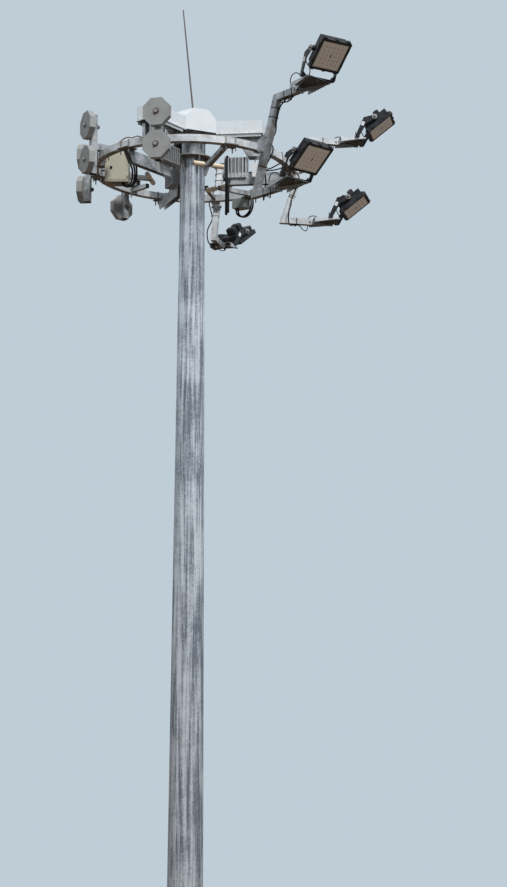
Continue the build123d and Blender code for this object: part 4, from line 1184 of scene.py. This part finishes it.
@dataclass(frozen=True)
class LampTrim:
    """Modules, screws, latches and supply blocks of a floodlight, and what its yoke and bracket carry."""
    lamp: Lamp
    grid: int = 6
    pitch: float = 0.0405
    module: float = 0.0396
    module_rise: float = 0.0012
    block_seat: float = 0.124
    block_height: float = 0.058
    frame_border: float = 0.022
    wing_foot: float = 0.118
    wing_tip: float = 0.1425
    wing_length: float = 0.254
    bracket_top: float = 0.030

    def modules(self) -> list[Surface]:
        """Square lens modules on the board, each a thin plate with a bevelled edge.

        Returns:
            The piece's closed forms.
        """
        board = self.lamp.face().moved(z=-self.lamp.recess)
        spots = (np.arange(self.grid) - (self.grid - 1) / 2) * self.pitch
        parts: list[Surface] = []
        for x in spots:
            for y in spots:
                seat = board.moved(x=x, y=y)
                parts.append(plate(seat, self.module, self.module, self.module_rise, 0.002, 0.0006))
        return parts

    def dots(self) -> list[Surface]:
        """Dark screws between the modules and the slotted sensor at the centre.

        Returns:
            The piece's closed forms.
        """
        board = self.lamp.face().moved(z=-self.lamp.recess)
        spots = (np.arange(self.grid - 1) - (self.grid - 2) / 2) * self.pitch
        parts: list[Surface] = []
        for x in spots:
            for y in spots:
                if abs(x) + abs(y) > 1e-6:
                    parts.append(turned(board.moved(x=x, y=y), (0.0038, 0.0038), (0.0, 0.0016), 8))
        parts.append(plate(board, 0.008, 0.036, 0.0030, 0.003, 0.001))
        return parts

    def blocks(self) -> list[Surface]:
        """Covers of the two supply blocks on the lamp's back, each with three low ribs across its top.

        Returns:
            The piece's closed forms.
        """
        face = self.lamp.face()
        parts: list[Surface] = []
        for y in (-0.048, 0.048):
            seat = Place.facing(face.carry(np.array((0.0, y, -self.block_seat))), -face.z, face.y)
            parts.append(plate(seat, 0.116, 0.060, self.block_height, 0.006, 0.012))
            for x in (-0.032, 0.0, 0.032):
                parts.append(plate(seat.moved(x=x, z=self.block_height), 0.005, 0.030, 0.004, 0.002, 0.001))
        return parts

    def glands(self) -> list[Surface]:
        """Cable gland on each outer side of the lower supply block.

        Returns:
            The piece's closed forms.
        """
        face = self.lamp.face()
        parts: list[Surface] = []
        for side in (-1, 1):
            seat = face.carry(np.array((side * 0.0579, -0.048, -0.140)))
            place = Place.facing(seat, self.lamp.across() * side)
            parts.append(turned(place, (0.011, 0.011, 0.0085, 0.0065), (0.0, 0.006, 0.009, 0.016), 12))
        return parts

    def latches(self) -> list[Surface]:
        """Latches on the frame's upper and lower edges and lugs on its sides.

        Returns:
            The piece's closed forms.
        """
        face = self.lamp.face()
        parts: list[Surface] = []
        for side in (-1, 1):
            for x, width in ((-0.118, 0.036), (0.0, 0.026), (0.118, 0.036)):
                seat = face.carry(np.array((x, side * self.lamp.frame_size / 2, -0.022)))
                latch = Place.facing(seat, face.y * side, face.z)
                parts.append(plate(latch, width, 0.034, 0.011, 0.003, 0.003))
            for y in (-0.075, 0.075):
                seat = face.carry(np.array((side * self.lamp.frame_size / 2, y, -0.022)))
                lug = Place.facing(seat, face.x * side, face.z)
                parts.append(plate(lug, 0.040, 0.034, 0.006, 0.003, 0.002))
        return parts

    def gussets(self) -> list[Surface]:
        """Folded corner plates between the yoke's foot and its legs.

        Returns:
            The piece's closed forms.
        """
        lamp = self.lamp
        corner = np.array(((0.0, 0.0), (0.042, 0.0), (0.0, 0.046)))
        parts: list[Surface] = []
        for side in (-1, 1):
            for ahead in (-0.019, 0.013):
                base = lamp.yoke(ahead, side * (lamp.leg_inner + 0.001), lamp.sheet - 0.001)
                inward, forward = lamp.across() * -side, lamp.forward()
                near = base + corner[:, :1] * inward + corner[:, 1:] * UP
                rings = np.stack((near, near + forward * 0.006))
                parts.append(skin(rings if side > 0 else rings[:, ::-1]))
        return parts

    def wings(self) -> list[Surface]:
        """Back corners of the bracket: a wedge of plate and a tapering skirt on each side.

        Returns:
            The piece's closed forms.
        """
        lamp, high = self.lamp, self.bracket_top
        parts: list[Surface] = []
        for side in (-1, 1):
            outline = ((0.0, 0.0475), (self.wing_length, self.wing_tip), (0.0, self.wing_foot))
            low = np.stack([lamp.bracket(along, side * across, high - 0.006) for along, across in outline])
            rings = np.stack((low, low + UP * 0.0058))
            parts.append(skin(rings[:, ::-1] if side > 0 else rings))
            edge = ((0.0, self.wing_foot, 0.050), (self.wing_length, self.wing_tip, 0.0085))
            outer = np.stack([lamp.bracket(along, side * across, high - drop)
                              for along, across, depth in edge for drop in (0.0065, depth)])
            inner = outer - outward(lamp.post.angle + 90) * (side * 0.006)
            rings = np.stack((inner[[0, 1, 3, 2]], outer[[0, 1, 3, 2]]))
            parts.append(skin(rings if side < 0 else rings[:, ::-1]))
        return parts

    def frame_screws(self) -> list[Surface]:
        """Cap screws round the lamp's frame.

        Returns:
            The piece's closed forms.
        """
        edge = self.lamp.frame_size / 2 - self.frame_border / 2
        face = self.lamp.face()
        parts: list[Surface] = []
        for along in np.linspace(-edge, edge, 4):
            for x, y in ((along, edge), (along, -edge), (edge, along), (-edge, along)):
                parts.append(turned(face.moved(x=x, y=y), (0.0045, 0.0045, 0.0035), (0.0, 0.002, 0.003), 10))
        return parts

    def pivot_bolts(self) -> list[Surface]:
        """Nut over each pivot bolt's end.

        Returns:
            The piece's closed forms.
        """
        across, outer = self.lamp.across(), self.lamp.leg_inner + self.lamp.sheet
        parts: list[Surface] = []
        for side in (-1, 1):
            spot = self.lamp.pivot() + across * (side * (outer + 0.0045))
            parts += Thread(0.016).nut(Place.facing(spot, across * side), 0.004)
        return parts

    def quadrants(self) -> list[Surface]:
        """Bright washer with three teeth on the outside of each yoke leg, round the pivot.

        Returns:
            The piece's closed forms.
        """
        across, outer = self.lamp.across(), self.lamp.leg_inner + self.lamp.sheet
        parts: list[Surface] = []
        for side in (-1, 1):
            place = Place.facing(self.lamp.pivot() + across * (side * outer), across * side)
            parts.append(annulus(place, 0.0095, 0.026, 0.004, 20))
            for turn in (40.0, 160.0, 280.0):
                tooth = place.moved(0.020 * cos(radians(turn)), 0.020 * sin(radians(turn)), 0.004)
                parts.append(turned(tooth, (0.0035, 0.0035, 0.0025), (0.0, 0.003, 0.004), 8))
        return parts

    def label(self) -> list[Surface]:
        """Blank label on the outside of the yoke's leg nearer the camera, below its bend.

        Returns:
            The piece's closed forms.
        """
        lamp = self.lamp
        leg = unit(lamp.forward() * 0.078 + UP * 0.174)
        spot = lamp.yoke(0.060, -(lamp.leg_inner + lamp.sheet), 0.130)
        return [plate(Place.facing(spot, -lamp.across(), leg), 0.031, 0.042, 0.0008, 0.002)]

    def bracket_bolts(self) -> list[Surface]:
        """Set bolts on the bracket's skirt and the two bolts through its back plate into the arm.

        Returns:
            The piece's closed forms.
        """
        lamp = self.lamp
        parts: list[Surface] = []
        for side in (-1, 1):
            spot = TOWER.point(lamp.post.angle, lamp.arm_end() - 0.030, lamp.arm_height(), side * 0.030)
            parts += Thread(0.010).head(Place.facing(spot, outward(lamp.post.angle + 90) * side))
            rear = lamp.bracket(0.0063, side * 0.026, -0.012)
            parts += Thread(0.010).head(Place.facing(rear, outward(lamp.post.angle)))
        return parts

    def pan_nut(self) -> list[Surface]:
        """Nut and washer on the pan bolt, under the bracket's plate.

        Returns:
            The piece's closed forms.
        """
        lamp = self.lamp
        place = Place.facing(lamp.foot() - UP * 0.0066, -UP)
        broad = turned(place, (0.016, 0.016), (0.0, 0.003), 20, smooth=False)
        return [broad] + Thread(0.0138).nut(place.moved(z=0.003), 0.012)

    def build(self) -> None:
        """Make this floodlight's pieces."""
        number = self.lamp.number
        head, yoke = f"floodlight_{number}", f"yoke_{number}"
        make_piece(f"modules_{number}", self.modules(), Paint.MODULE, head)
        make_piece(f"module_screws_{number}", self.dots(), Paint.CHARCOAL, head)
        make_piece(f"supply_blocks_{number}", self.blocks(), Paint.CHARCOAL, head)
        make_piece(f"latches_{number}", self.latches() + self.glands(), Paint.CHARCOAL, head)
        make_piece(f"frame_screws_{number}", self.frame_screws(), Paint.CHARCOAL, head)
        make_piece(f"pivot_bolts_{number}", self.pivot_bolts(), Paint.BOLT, head)
        make_piece(f"quadrants_{number}", self.quadrants(), Paint.TUBE, yoke)
        make_piece(f"label_{number}", self.label(), Paint.LABEL, yoke)
        make_piece(f"yoke_gussets_{number}", self.gussets(), Paint.CHARCOAL, yoke)
        make_piece(f"bracket_wings_{number}", self.wings(), Paint.BRACKET, CARRIAGE)
        make_piece(f"pan_nut_{number}", self.pan_nut(), Paint.BOLT, yoke)
        make_piece(f"bracket_bolts_{number}", self.bracket_bolts(), Paint.BOLT, CARRIAGE)


# Bows of the pan leads above the bracket: along, out and height of each control point
WIDE_BOW = ((0.020, 0.112, 0.104), (0.085, 0.122, 0.104), (0.135, 0.118, 0.066))
TIGHT_BOW = ((0.010, 0.062, 0.104), (0.060, 0.036, 0.096), (0.102, 0.044, 0.052))


@dataclass(frozen=True)
class LampLeads:
    """Lead of a floodlight: a drip loop at the arm's end, a bow to the yoke's foot, then up to the lamp."""
    lamp: Lamp
    side: int
    bow: tuple[Point, ...]
    diameter: float = 0.009

    def to_yoke(self) -> list[Array]:
        """Route from the last tie under the arm, round the bracket's back, to the clip on the yoke's foot."""
        lamp, side = self.lamp, self.side
        return [
            lamp.bracket(-0.170, 0.0, -0.0350), lamp.bracket(-0.130, 0.0, -0.0370),
            lamp.bracket(-0.092, side * 0.012, -0.082), lamp.bracket(-0.040, side * 0.054, -0.080),
            lamp.bracket(-0.024, side * 0.076, -0.010), lamp.bracket(-0.026, side * 0.094, 0.060),
            *(lamp.bracket(along, side * out, height) for along, out, height in self.bow),
            lamp.yoke(-0.036, side * 0.104, 0.0145),
            lamp.yoke(0.000, side * 0.100, 0.0128), lamp.yoke(0.012, side * 0.099, 0.0130),
        ]

    def to_lamp(self) -> list[Array]:
        """Route from the clip, in a slack bow between the legs, to the gland of the supply block."""
        lamp, side, face = self.lamp, self.side, self.lamp.face()
        return [
            lamp.yoke(0.012, side * 0.099, 0.0130), lamp.yoke(0.040, side * 0.098, 0.0180),
            lamp.yoke(0.048, side * 0.104, 0.070), lamp.yoke(0.012, side * 0.118, 0.120),
            lamp.yoke(-0.004, side * 0.128, 0.180), lamp.yoke(0.030, side * 0.126, 0.226),
            face.carry(np.array((side * 0.106, -0.048, -0.150))),
            face.carry(np.array((side * 0.073, -0.048, -0.140))),
        ]

    def clip(self) -> list[Surface]:
        """Saddle clip that holds the lead on the yoke's foot.

        Returns:
            The piece's closed forms.
        """
        spot = self.lamp.yoke(0.000, self.side * 0.100, self.lamp.sheet + 0.0048)
        place = Place.facing(spot, self.lamp.forward(), UP)
        return [band(place, (-0.0048, -0.0048), (0.0048, 0.0048), 0.010, 0.0018)]

    def build(self) -> None:
        """Make the two leads, which run from one body to the next, and the clip."""
        number = self.lamp.number
        head, yoke = f"floodlight_{number}", f"yoke_{number}"
        Cord(f"pan_lead_{number}", self.to_yoke(), self.diameter, CARRIAGE, yoke, turning=(5, 9)).make()
        Cord(f"tilt_lead_{number}", self.to_lamp(), self.diameter, yoke, head, turning=(2, 6)).make()
        make_piece(f"lead_clip_{number}", self.clip(), Paint.RUBBER, yoke)


@dataclass(frozen=True)
class PostLeads:
    """Cables of one light post: from its driver over the ring, up and down the post, and their ties."""
    post: Post
    side: int
    toward: float
    start: Point
    over: tuple[float, ...]
    front: bool = False
    diameter: float = 0.013
    tube_half: float = 0.0305
    ring_half: float = 0.0335
    cable_room: float = 0.0136
    tie_width: float = 0.008

    def turn(self) -> float:
        """One where the post stands anticlockwise of the driver that feeds it, else minus one."""
        return 1.0 if self.post.angle > self.toward else -1.0

    def at(self, height: float, radius: float = 0.0, side: float = 0.0368) -> Array:
        """Point beside the post: at its own radius plus radius, and sideways on the cables' side."""
        return TOWER.point(self.post.angle, self.post.radius(height) + radius, height, self.side * side)

    def high(self, height: float, away: float = 0.0) -> Array:
        """Point on the post's face that carries the upper cable, moved off it by away."""
        return self.at(height, 0.0395 + away, 0.018) if self.front else self.at(height, 0.0, 0.0368 + away)

    def supply(self) -> list[Array]:
        """Route from the driver's end along the spoke's side and over the ring to the post.

        Returns:
            The route's control points.
        """
        radius, height, side = self.start
        inner = [TOWER.point(self.toward, radius, height, side),
                 TOWER.point(self.toward, radius + 0.060, height, side),
                 TOWER.point(self.toward, 0.845, 0.010, self.turn() * 0.066),
                 TOWER.point(self.toward, 0.905, 0.042, self.turn() * 0.078)]
        return inner + [TOWER.point(angle, TOWER.ring_radius + 0.012, 0.0400) for angle in self.over]

    def upward(self) -> list[Array]:
        """Route from the ring's top up the post and under the upper arm.

        Returns:
            The route's control points.
        """
        post = self.post
        under = post.top_height - 0.0368
        return [
            TOWER.point(post.angle + self.side * 5.0, TOWER.ring_radius + 0.012, 0.0400),
            TOWER.point(post.angle + self.side * 4.2, TOWER.ring_radius + 0.030, 0.044),
            TOWER.point(post.angle, 1.078, 0.070, self.side * 0.072), self.at(0.130, 0.020, 0.058),
            self.high(0.185, 0.002), self.high(0.240), self.high(0.310, 0.001), self.high(0.345, 0.016),
            TOWER.point(post.angle, 1.292, under - 0.018, self.side * 0.016),
            TOWER.point(post.angle, 1.330, under - 0.006, self.side * 0.004),
            TOWER.point(post.angle, post.top_end - 0.180, under),
            TOWER.point(post.angle, post.top_end - 0.160, under),
        ]

    def slack(self) -> list[Array]:
        """Route of the slack that hangs under the upper arm, from the post's elbow to the tie.

        Returns:
            The route's control points.
        """
        post = self.post
        spots = ((1.255, 0.044, 0.016), (1.290, 0.052, 0.018), (1.330, 0.064, 0.014),
                 (1.372, 0.062, 0.012), (1.404, 0.0375, 0.013), (1.425, 0.0370, 0.014))
        return [TOWER.point(post.angle, radius, post.top_height - drop, self.side * side)
                for radius, drop, side in spots]

    def downward(self) -> list[Array]:
        """Route from the ring's top past the clamp and down the post, with a slack bow before the lower arm.

        Returns:
            The route's control points.
        """
        post = self.post
        under = post.foot_height - 0.0368
        return [
            TOWER.point(post.angle + self.side * 5.0, TOWER.ring_radius - 0.006, 0.0400),
            TOWER.point(post.angle + self.side * 4.6, TOWER.ring_radius + 0.024, 0.050),
            TOWER.point(post.angle, 1.040, 0.050, self.side * 0.078),
            TOWER.point(post.angle, 1.078, 0.006, self.side * 0.092),
            TOWER.point(post.angle, 1.074, -0.062, self.side * 0.082), self.at(-0.135, 0.004, 0.054),
            self.at(-0.190), self.at(-0.235, 0.0, 0.042), self.at(-0.300, 0.010, 0.076),
            self.at(-0.375, 0.006, 0.088), TOWER.point(post.angle, 0.972, under - 0.012, self.side * 0.070),
            TOWER.point(post.angle, 1.010, under - 0.018, self.side * 0.030),
            TOWER.point(post.angle, 1.040, under, self.side * 0.002),
            TOWER.point(post.angle, post.low_end - 0.160, under),
        ]

    def ties(self) -> list[Surface]:
        """Straps that hold the cables on the post, on both arms and on the ring.

        Returns:
            The piece's closed forms.
        """
        post, half, room = self.post, self.tube_half, self.cable_room
        parts: list[Surface] = []
        low, high = [-half, -half], [half, half]
        if self.side > 0:
            low[0] -= room
        else:
            high[0] += room
        for height in (-0.195, 0.240, 0.322):
            place = Place.facing(TOWER.point(post.angle, post.radius(height), height), post.slope(),
                                 outward(post.angle))
            if self.front and height > 0:
                parts.append(band(place, (-half, -half), (half, half + room), self.tie_width))
            else:
                parts.append(band(place, low, high, self.tie_width))
        for end, height in ((post.top_end, post.top_height), (post.low_end, post.foot_height)):
            spot = TOWER.point(post.angle, end - 0.174, height)
            place = Place.facing(spot, outward(post.angle), UP)
            parts.append(band(place, (-half, -half - room), (half, half), self.tie_width))
        ring = self.ring_half
        for angle in np.linspace(self.toward + self.turn() * 8.0, post.angle - self.turn() * 7.0, 3):
            place = Place.facing(TOWER.point(angle, TOWER.ring_radius), outward(angle + 90), UP)
            parts.append(band(place, (-ring, -ring), (ring, ring + room), self.tie_width))
        return parts

    def build(self) -> None:
        """Make the cables and their ties."""
        number = self.post.number
        Cord(f"supply_cable_{number}", self.supply(), self.diameter).make()
        Cord(f"slack_cable_{number}", self.slack(), self.diameter).make()
        Cord(f"upper_cable_{number}", self.upward(), self.diameter).make()
        Cord(f"lower_cable_{number}", self.downward(), self.diameter).make()
        make_piece(f"cable_ties_{number}", self.ties(), Paint.RUBBER, CARRIAGE)


@dataclass(frozen=True)
class Hoses:
    """Hoses beside the boxes, the two spare tails at the driver, and the brown lead on the ring."""
    tail: float = 0.027
    box_hose: float = 0.018
    splice_hose: float = 0.019
    lead: float = 0.012

    def tails(self) -> None:
        """Two spare tails with bare ends: one from the driver's top, one from the spoke's side."""
        tails = (
            (0.3500, ((0.050, 0.1345), (0.010, 0.136), (-0.034, 0.128), (-0.060, 0.094), (-0.062, 0.040),
                      (-0.062, -0.100), (-0.061, -0.300), (-0.059, -0.470))),
            (0.3740, ((-0.031, -0.120), (-0.058, -0.122), (-0.088, -0.134), (-0.108, -0.165),
                      (-0.112, -0.210), (-0.110, -0.330), (-0.104, -0.462))),
        )
        for number, (radius, spots) in enumerate(tails, 1):
            route = [TOWER.point(TOWER.head_angles[0], radius, height, side) for side, height in spots]
            Cord(f"spare_tail_{number}", route, self.tail, far_end="bare", stiffness="limp").make()

    def box_hoses(self) -> None:
        """Three hoses from the junction box's right side round to its underside, each inside the last."""
        for number, (depth, inset) in enumerate(((-0.246, 0.0), (-0.226, 0.021), (-0.244, 0.042)), 1):
            spots = ((-0.614, 0.052 - inset), (-0.592, 0.052 - inset), (-0.552 - inset, 0.020 - inset),
                     (-0.534 - inset, -0.060), (-0.534 - inset, -0.150),
                     (-0.556 - 0.8 * inset, -0.218 + 0.3 * inset), (-0.620, -0.244 + 0.4 * inset),
                     (-0.652 - 0.5 * inset, -0.232 + 0.3 * inset), (-0.658 - 0.5 * inset, -0.196))
            route = [np.array((x, depth, TOWER.ring_z + z)) for x, z in spots]
            Cord(f"box_hose_{number}", route, self.box_hose, stiffness="limp").make()

    def splice_hoses(self) -> None:
        """Two hoses from the splice box's underside up to the ring; the second hangs less deep."""
        spots = ((0.446, 0.830, -0.141), (0.446, 0.830, -0.170), (0.456, 0.835, -0.212),
                 (0.500, 0.842, -0.236), (0.560, 0.853, -0.210), (0.600, 0.866, -0.130),
                 (0.608, 0.874, -0.040), (0.585, 0.880, 0.030), (0.535, 0.862, 0.055), (0.495, 0.842, 0.043))
        for number, (shift, rise) in enumerate(((0.0, 0.0), (-0.021, 0.006)), 1):
            route = [np.array((x + shift, y - 0.2 * shift, TOWER.ring_z + z + (rise if z < -0.18 else 0.0)))
                     for x, y, z in spots]
            Cord(f"splice_hose_{number}", route, self.splice_hose, stiffness="limp").make()

    def ring_lead(self) -> None:
        """Brown lead that lies in two arches along the ring's top."""
        spots = ((-135.0, 0.0, 0.0395), (-132.0, 0.006, 0.046), (-129.0, -0.006, 0.078),
                 (-125.5, -0.004, 0.074), (-122.5, 0.008, 0.050), (-119.0, 0.004, 0.070),
                 (-116.0, 0.0, 0.0395))
        route = [TOWER.point(angle, TOWER.ring_radius + lane, height) for angle, lane, height in spots]
        Cord("ring_lead", route, self.lead, paint=Paint.BROWN_LEAD).make()

    def build(self) -> None:
        """Make the tails, the hoses and the lead."""
        self.tails()
        self.box_hoses()
        self.splice_hoses()
        self.ring_lead()


@dataclass(frozen=True)
class BoxTrim:
    """Door, lock, hinges and glands of the junction box, and the lid screws of the terminal box."""
    box_x: float = -0.728
    front: float = -0.2825
    middle: float = -0.050
    bottom: float = -0.195
    gland_spots: tuple[float, ...] = (-0.768, -0.719, -0.690)

    def door(self) -> list[Surface]:
        """Raised door with a rim, and two hinges on its right.

        Returns:
            The piece's closed forms.
        """
        face = Place.facing(np.array((self.box_x, self.front, TOWER.ring_z + self.middle)), (0.0, -1.0, 0.0))
        parts = [plate(face, 0.206, 0.262, 0.004, 0.006, 0.0015)]
        for height in (-0.09, 0.09):
            hinge = Place.facing(face.carry(np.array((0.106, height - 0.018, 0.006))), UP)
            parts.append(turned(hinge, (0.004, 0.006, 0.006, 0.004), (0.0, 0.002, 0.034, 0.036), 12))
        return parts

    def knob(self) -> list[Surface]:
        """Round lock with a raised rim on the door's left."""
        place = Place.facing(np.array((-0.781, self.front - 0.004, TOWER.ring_z - 0.058)), (0.0, -1.0, 0.0))
        return [turned(place, (0.013, 0.013, 0.010, 0.009, 0.004), (0.0, 0.006, 0.009, 0.006, 0.006), 20)]

    def glands(self) -> list[Surface]:
        """Three glands under the junction box, each a hexagon with a round cap.

        Returns:
            The piece's closed forms.
        """
        parts: list[Surface] = []
        for x in self.gland_spots:
            place = Place.facing(np.array((x, -0.240, TOWER.ring_z + self.bottom)), -UP)
            cap = turned(place.moved(z=0.010), (0.013, 0.013, 0.009), (0.0, 0.010, 0.014), 14)
            parts += [Thread(0.020).hexagon(place, 0.010), cap]
        return parts

    def lids(self) -> list[Surface]:
        """Lid screws at the terminal box's four corners.

        Returns:
            The piece's closed forms.
        """
        angle = TOWER.head_angles[0]
        parts: list[Surface] = []
        for radius in (0.618, 0.682):
            for height in (-0.093, 0.031):
                place = Place.facing(TOWER.point(angle, radius, height, -0.0903), -outward(angle + 90))
                parts.append(turned(place, (0.006, 0.006, 0.004), (0.0, 0.002, 0.004), 12))
        return parts

    def build(self) -> None:
        """Make the pieces on the boxes."""
        make_piece("junction_door", self.door(), Paint.ENAMEL, CARRIAGE)
        make_piece("junction_lock", self.knob(), Paint.RUBBER, CARRIAGE)
        make_piece("junction_glands", self.glands(), Paint.BOLT, CARRIAGE)
        make_piece("terminal_screws", self.lids(), Paint.PLASTIC, CARRIAGE)


@dataclass(frozen=True)
class DriverTrim:
    """Side fins of the three drivers, which hang down over the spokes, and the strap across each foot."""
    inner: float = 0.330
    outer: float = 0.545
    count: int = 7
    foot: float = -0.094

    def seat(self, angle: float, radius: float, height: float, side: float) -> Place:
        """Place on a driver's side, with y up and z away from the spoke."""
        return Place.facing(TOWER.point(angle, radius, height, side), -outward(angle + 90), UP)

    def fins(self) -> list[Surface]:
        """Upright fins on each driver's side, and the bar that joins their feet.

        Returns:
            The piece's closed forms.
        """
        parts: list[Surface] = []
        for angle in TOWER.head_angles:
            for radius in np.linspace(self.inner, self.outer - 0.006, self.count):
                place = self.seat(angle, radius, 0.008, -0.0302)
                parts.append(plate(place, 0.009, 0.206, 0.014, 0.002, 0.002))
            foot = self.seat(angle, (self.inner + self.outer) / 2, self.foot, -0.0302)
            parts.append(plate(foot, self.outer - self.inner, 0.008, 0.010, 0.002, 0.001))
        return parts

    def straps(self) -> list[Surface]:
        """Flat strap across the foot of each driver's side fins."""
        middle, length = (self.inner + self.outer) / 2 - 0.010, self.outer - self.inner + 0.010
        return [plate(self.seat(angle, middle, self.foot, -0.0446), length, 0.007, 0.003, 0.001, 0.0005)
                for angle in TOWER.head_angles]

    def build(self) -> None:
        """Make the fins and the straps."""
        make_piece("driver_fins", self.fins(), Paint.FIN, CARRIAGE)
        make_piece("driver_straps", self.straps(), Paint.RUBBER, CARRIAGE)


@dataclass(frozen=True)
class PostClamps:
    """U-bolts that hold two of the posts' clamp plates to the ring."""
    rod: float = 0.010
    plate_face: float = 1.0083

    def build(self) -> None:
        """Make two U-bolts a post, with nuts on the clamp plate; the third post has its stub there."""
        spots = ((1.024, 0.0395), (0.985, 0.0395), (0.940, 0.0395), (0.9245, 0.0390), (0.9245, 0.0),
                 (0.9245, -0.0390), (0.940, -0.0395), (0.985, -0.0395), (1.024, -0.0395))
        parts: list[Surface] = []
        for post in POSTS[:2]:
            for side in (-0.018, 0.018):
                route = [TOWER.point(post.angle, radius, height, side) for radius, height in spots]
                parts.append(carried(smooth_line(route), self.rod / 2, 8))
                for height in (-0.0395, 0.0395):
                    nut = TOWER.point(post.angle, self.plate_face, height, side)
                    parts += Thread(self.rod).nut(Place.facing(nut, outward(post.angle)), 0.004)
        make_piece("post_u_bolts", parts, Paint.BOLT, CARRIAGE)


@dataclass(frozen=True)
class Studio:
    """Camera at the photograph's place, pale floor, and plain soft light.

    A sun's three numbers are its azimuth, its elevation and its strength.
    """
    eye: Point = (0.6249, -11.72506, 25.41961)
    pitch: float = 4.882
    roll: float = 0.35
    focal: float = 85.207
    sensor: float = 36.0
    far: float = 400.0
    floor_radius: float = 45.0
    backdrop: Colour = (0.52, 0.61, 0.68)
    sky: Colour = (0.85, 0.94, 1.0)
    ground: Colour = (0.135, 0.106, 0.082)
    sky_strength: float = 0.64
    floor_pale: Colour = (0.60, 0.63, 0.65)
    sun_angle: float = 14.0
    key: tuple[float, float, float] = (-64.0, 50.0, 3.0)
    fill: tuple[float, float, float] = (125.0, 35.0, 0.45)

    def camera(self) -> None:
        """Camera that looks along +Y, raised by pitch and rolled about its axis."""
        pitch, roll = radians(self.pitch), radians(self.roll)
        ahead = np.array((0.0, cos(pitch), sin(pitch)))
        level, above = np.array((1.0, 0.0, 0.0)), np.array((0.0, -sin(pitch), cos(pitch)))
        right = level * cos(roll) + above * sin(roll)
        up = above * cos(roll) - level * sin(roll)
        turn = np.eye(4)
        turn[:3] = np.stack((right, up, -ahead, np.array(self.eye)), axis=1)
        data = bpy.data.cameras.new("camera")
        data.sensor_fit = "HORIZONTAL"
        data.sensor_width = self.sensor
        data.lens = self.focal
        data.clip_end = self.far
        camera = bpy.data.objects.new("camera", data)
        camera.matrix_world = Matrix(turn.tolist())
        bpy.context.scene.collection.objects.link(camera)
        bpy.context.scene.camera = camera

    def seen(self, graph: Graph) -> Value:
        """One for camera rays, else nought."""
        paths = graph.tree.nodes.new("ShaderNodeLightPath")
        return Value(graph, paths.outputs["Is Camera Ray"])

    def floor(self) -> None:
        """Pale disc under the tower: pale to the eye, earth-toned in the light that it gives back."""
        graph = Graph.named("floor")
        pale = graph.mix(self.seen(graph), self.ground, self.floor_pale)
        place = Place.facing(np.zeros(3), UP)
        disc = turned(place, (self.floor_radius, self.floor_radius), (-0.02, -0.0005), 96, smooth=False)
        mesh = bpy.data.meshes.new("floor")
        mesh.from_pydata(disc.points.tolist(), [], [face.tolist() for faces in disc.faces for face in faces])
        mesh.materials.append(graph.finish({"Base Color": pale, "Roughness": 0.9}))
        floor = bpy.data.objects.new("floor", mesh)
        bpy.context.scene.collection.objects.link(floor)

    def world(self) -> None:
        """Soft sky from above, earth tones from below, and a plain pale backdrop to the eye."""
        world = bpy.data.worlds.new("studio")
        bpy.context.scene.world = world
        graph = Graph(world)
        ray = graph.node("ShaderNodeTexCoord", {}, {}, "Generated")
        rise = graph.node("ShaderNodeSeparateXYZ", {}, {0: ray}, 2)
        light = graph.mix((rise * 2.5 + 0.5).clamped(), self.ground, self.sky)
        soft = graph.node("ShaderNodeBackground", {}, {"Color": light, "Strength": self.sky_strength})
        plain = graph.node("ShaderNodeBackground", {}, {"Color": (*self.backdrop, 1.0), "Strength": 1.0})
        both = graph.node("ShaderNodeMixShader", {}, {0: self.seen(graph), 1: soft, 2: plain})
        output = graph.tree.nodes.new("ShaderNodeOutputWorld")
        graph.tree.links.new(both.socket, output.inputs["Surface"])

    def sun(self, name: str, azimuth: float, elevation: float, strength: float) -> None:
        """Broad sun light.

        Args:
            name: name of the light.
            azimuth: angle that it comes from.
            elevation: its height in degrees.
            strength: its strength.
        """
        data = bpy.data.lights.new(name, "SUN")
        data.energy = strength
        data.angle = radians(self.sun_angle)
        light = bpy.data.objects.new(name, data)
        source = outward(azimuth) * cos(radians(elevation)) + UP * sin(radians(elevation))
        place = Place.facing(source * 40.0, source)
        turn = np.eye(4)
        turn[:3] = np.stack((place.x, place.y, place.z, place.origin), axis=1)
        light.matrix_world = Matrix(turn.tolist())
        bpy.context.scene.collection.objects.link(light)

    def build(self) -> None:
        """Make the camera, the stage and the lights."""
        bpy.context.scene.view_settings.view_transform = "Standard"
        self.camera()
        self.floor()
        self.world()
        self.sun("key", *self.key)
        self.sun("fill", *self.fill)


def paint_nodes() -> None:
    """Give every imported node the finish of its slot, or its own where it has one."""
    for part in frame["record"]["subparts"]:
        node = frame["nodes"][part["node"]]
        paint = NODE_PAINT.get(part["node"], SLOT_PAINT[Slot(part["material_slot"])])
        for slot in node.material_slots:
            slot.material = paint.material()


def main() -> None:
    """Build the studio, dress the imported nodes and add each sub-assembly's pieces."""
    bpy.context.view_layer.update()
    Studio().build()
    paint_nodes()
    MastTrim().build()
    HeadTrim().build()
    RingTrim().build()
    PostClamps().build()
    DriverTrim().build()
    BoxTrim().build()
    for lamp in LAMPS:
        LampTrim(lamp).build()
        side = 1 if lamp.post.number == 2 else -1
        LampLeads(lamp, side, TIGHT_BOW if lamp.number == 5 else WIDE_BOW).build()
    PostLeads(POSTS[0], 1, TOWER.head_angles[0], (0.700, -0.028, -0.060),
              (-15.0, -20.4, -25.8, -31.2, -36.6, -42.0), front=True).build()
    PostLeads(POSTS[1], -1, TOWER.head_angles[0], (0.558, -0.010, 0.060),
              (2.0, 3.0, 4.0, 5.0, 6.0, 7.0)).build()
    PostLeads(POSTS[2], 1, TOWER.head_angles[1], (0.558, -0.030, -0.018),
              (105.0, 100.8, 96.6, 92.4, 88.2, 84.0)).build()
    Hoses().build()


if __name__ == "__main__":
    logging.basicConfig(level=logging.INFO)
    main()
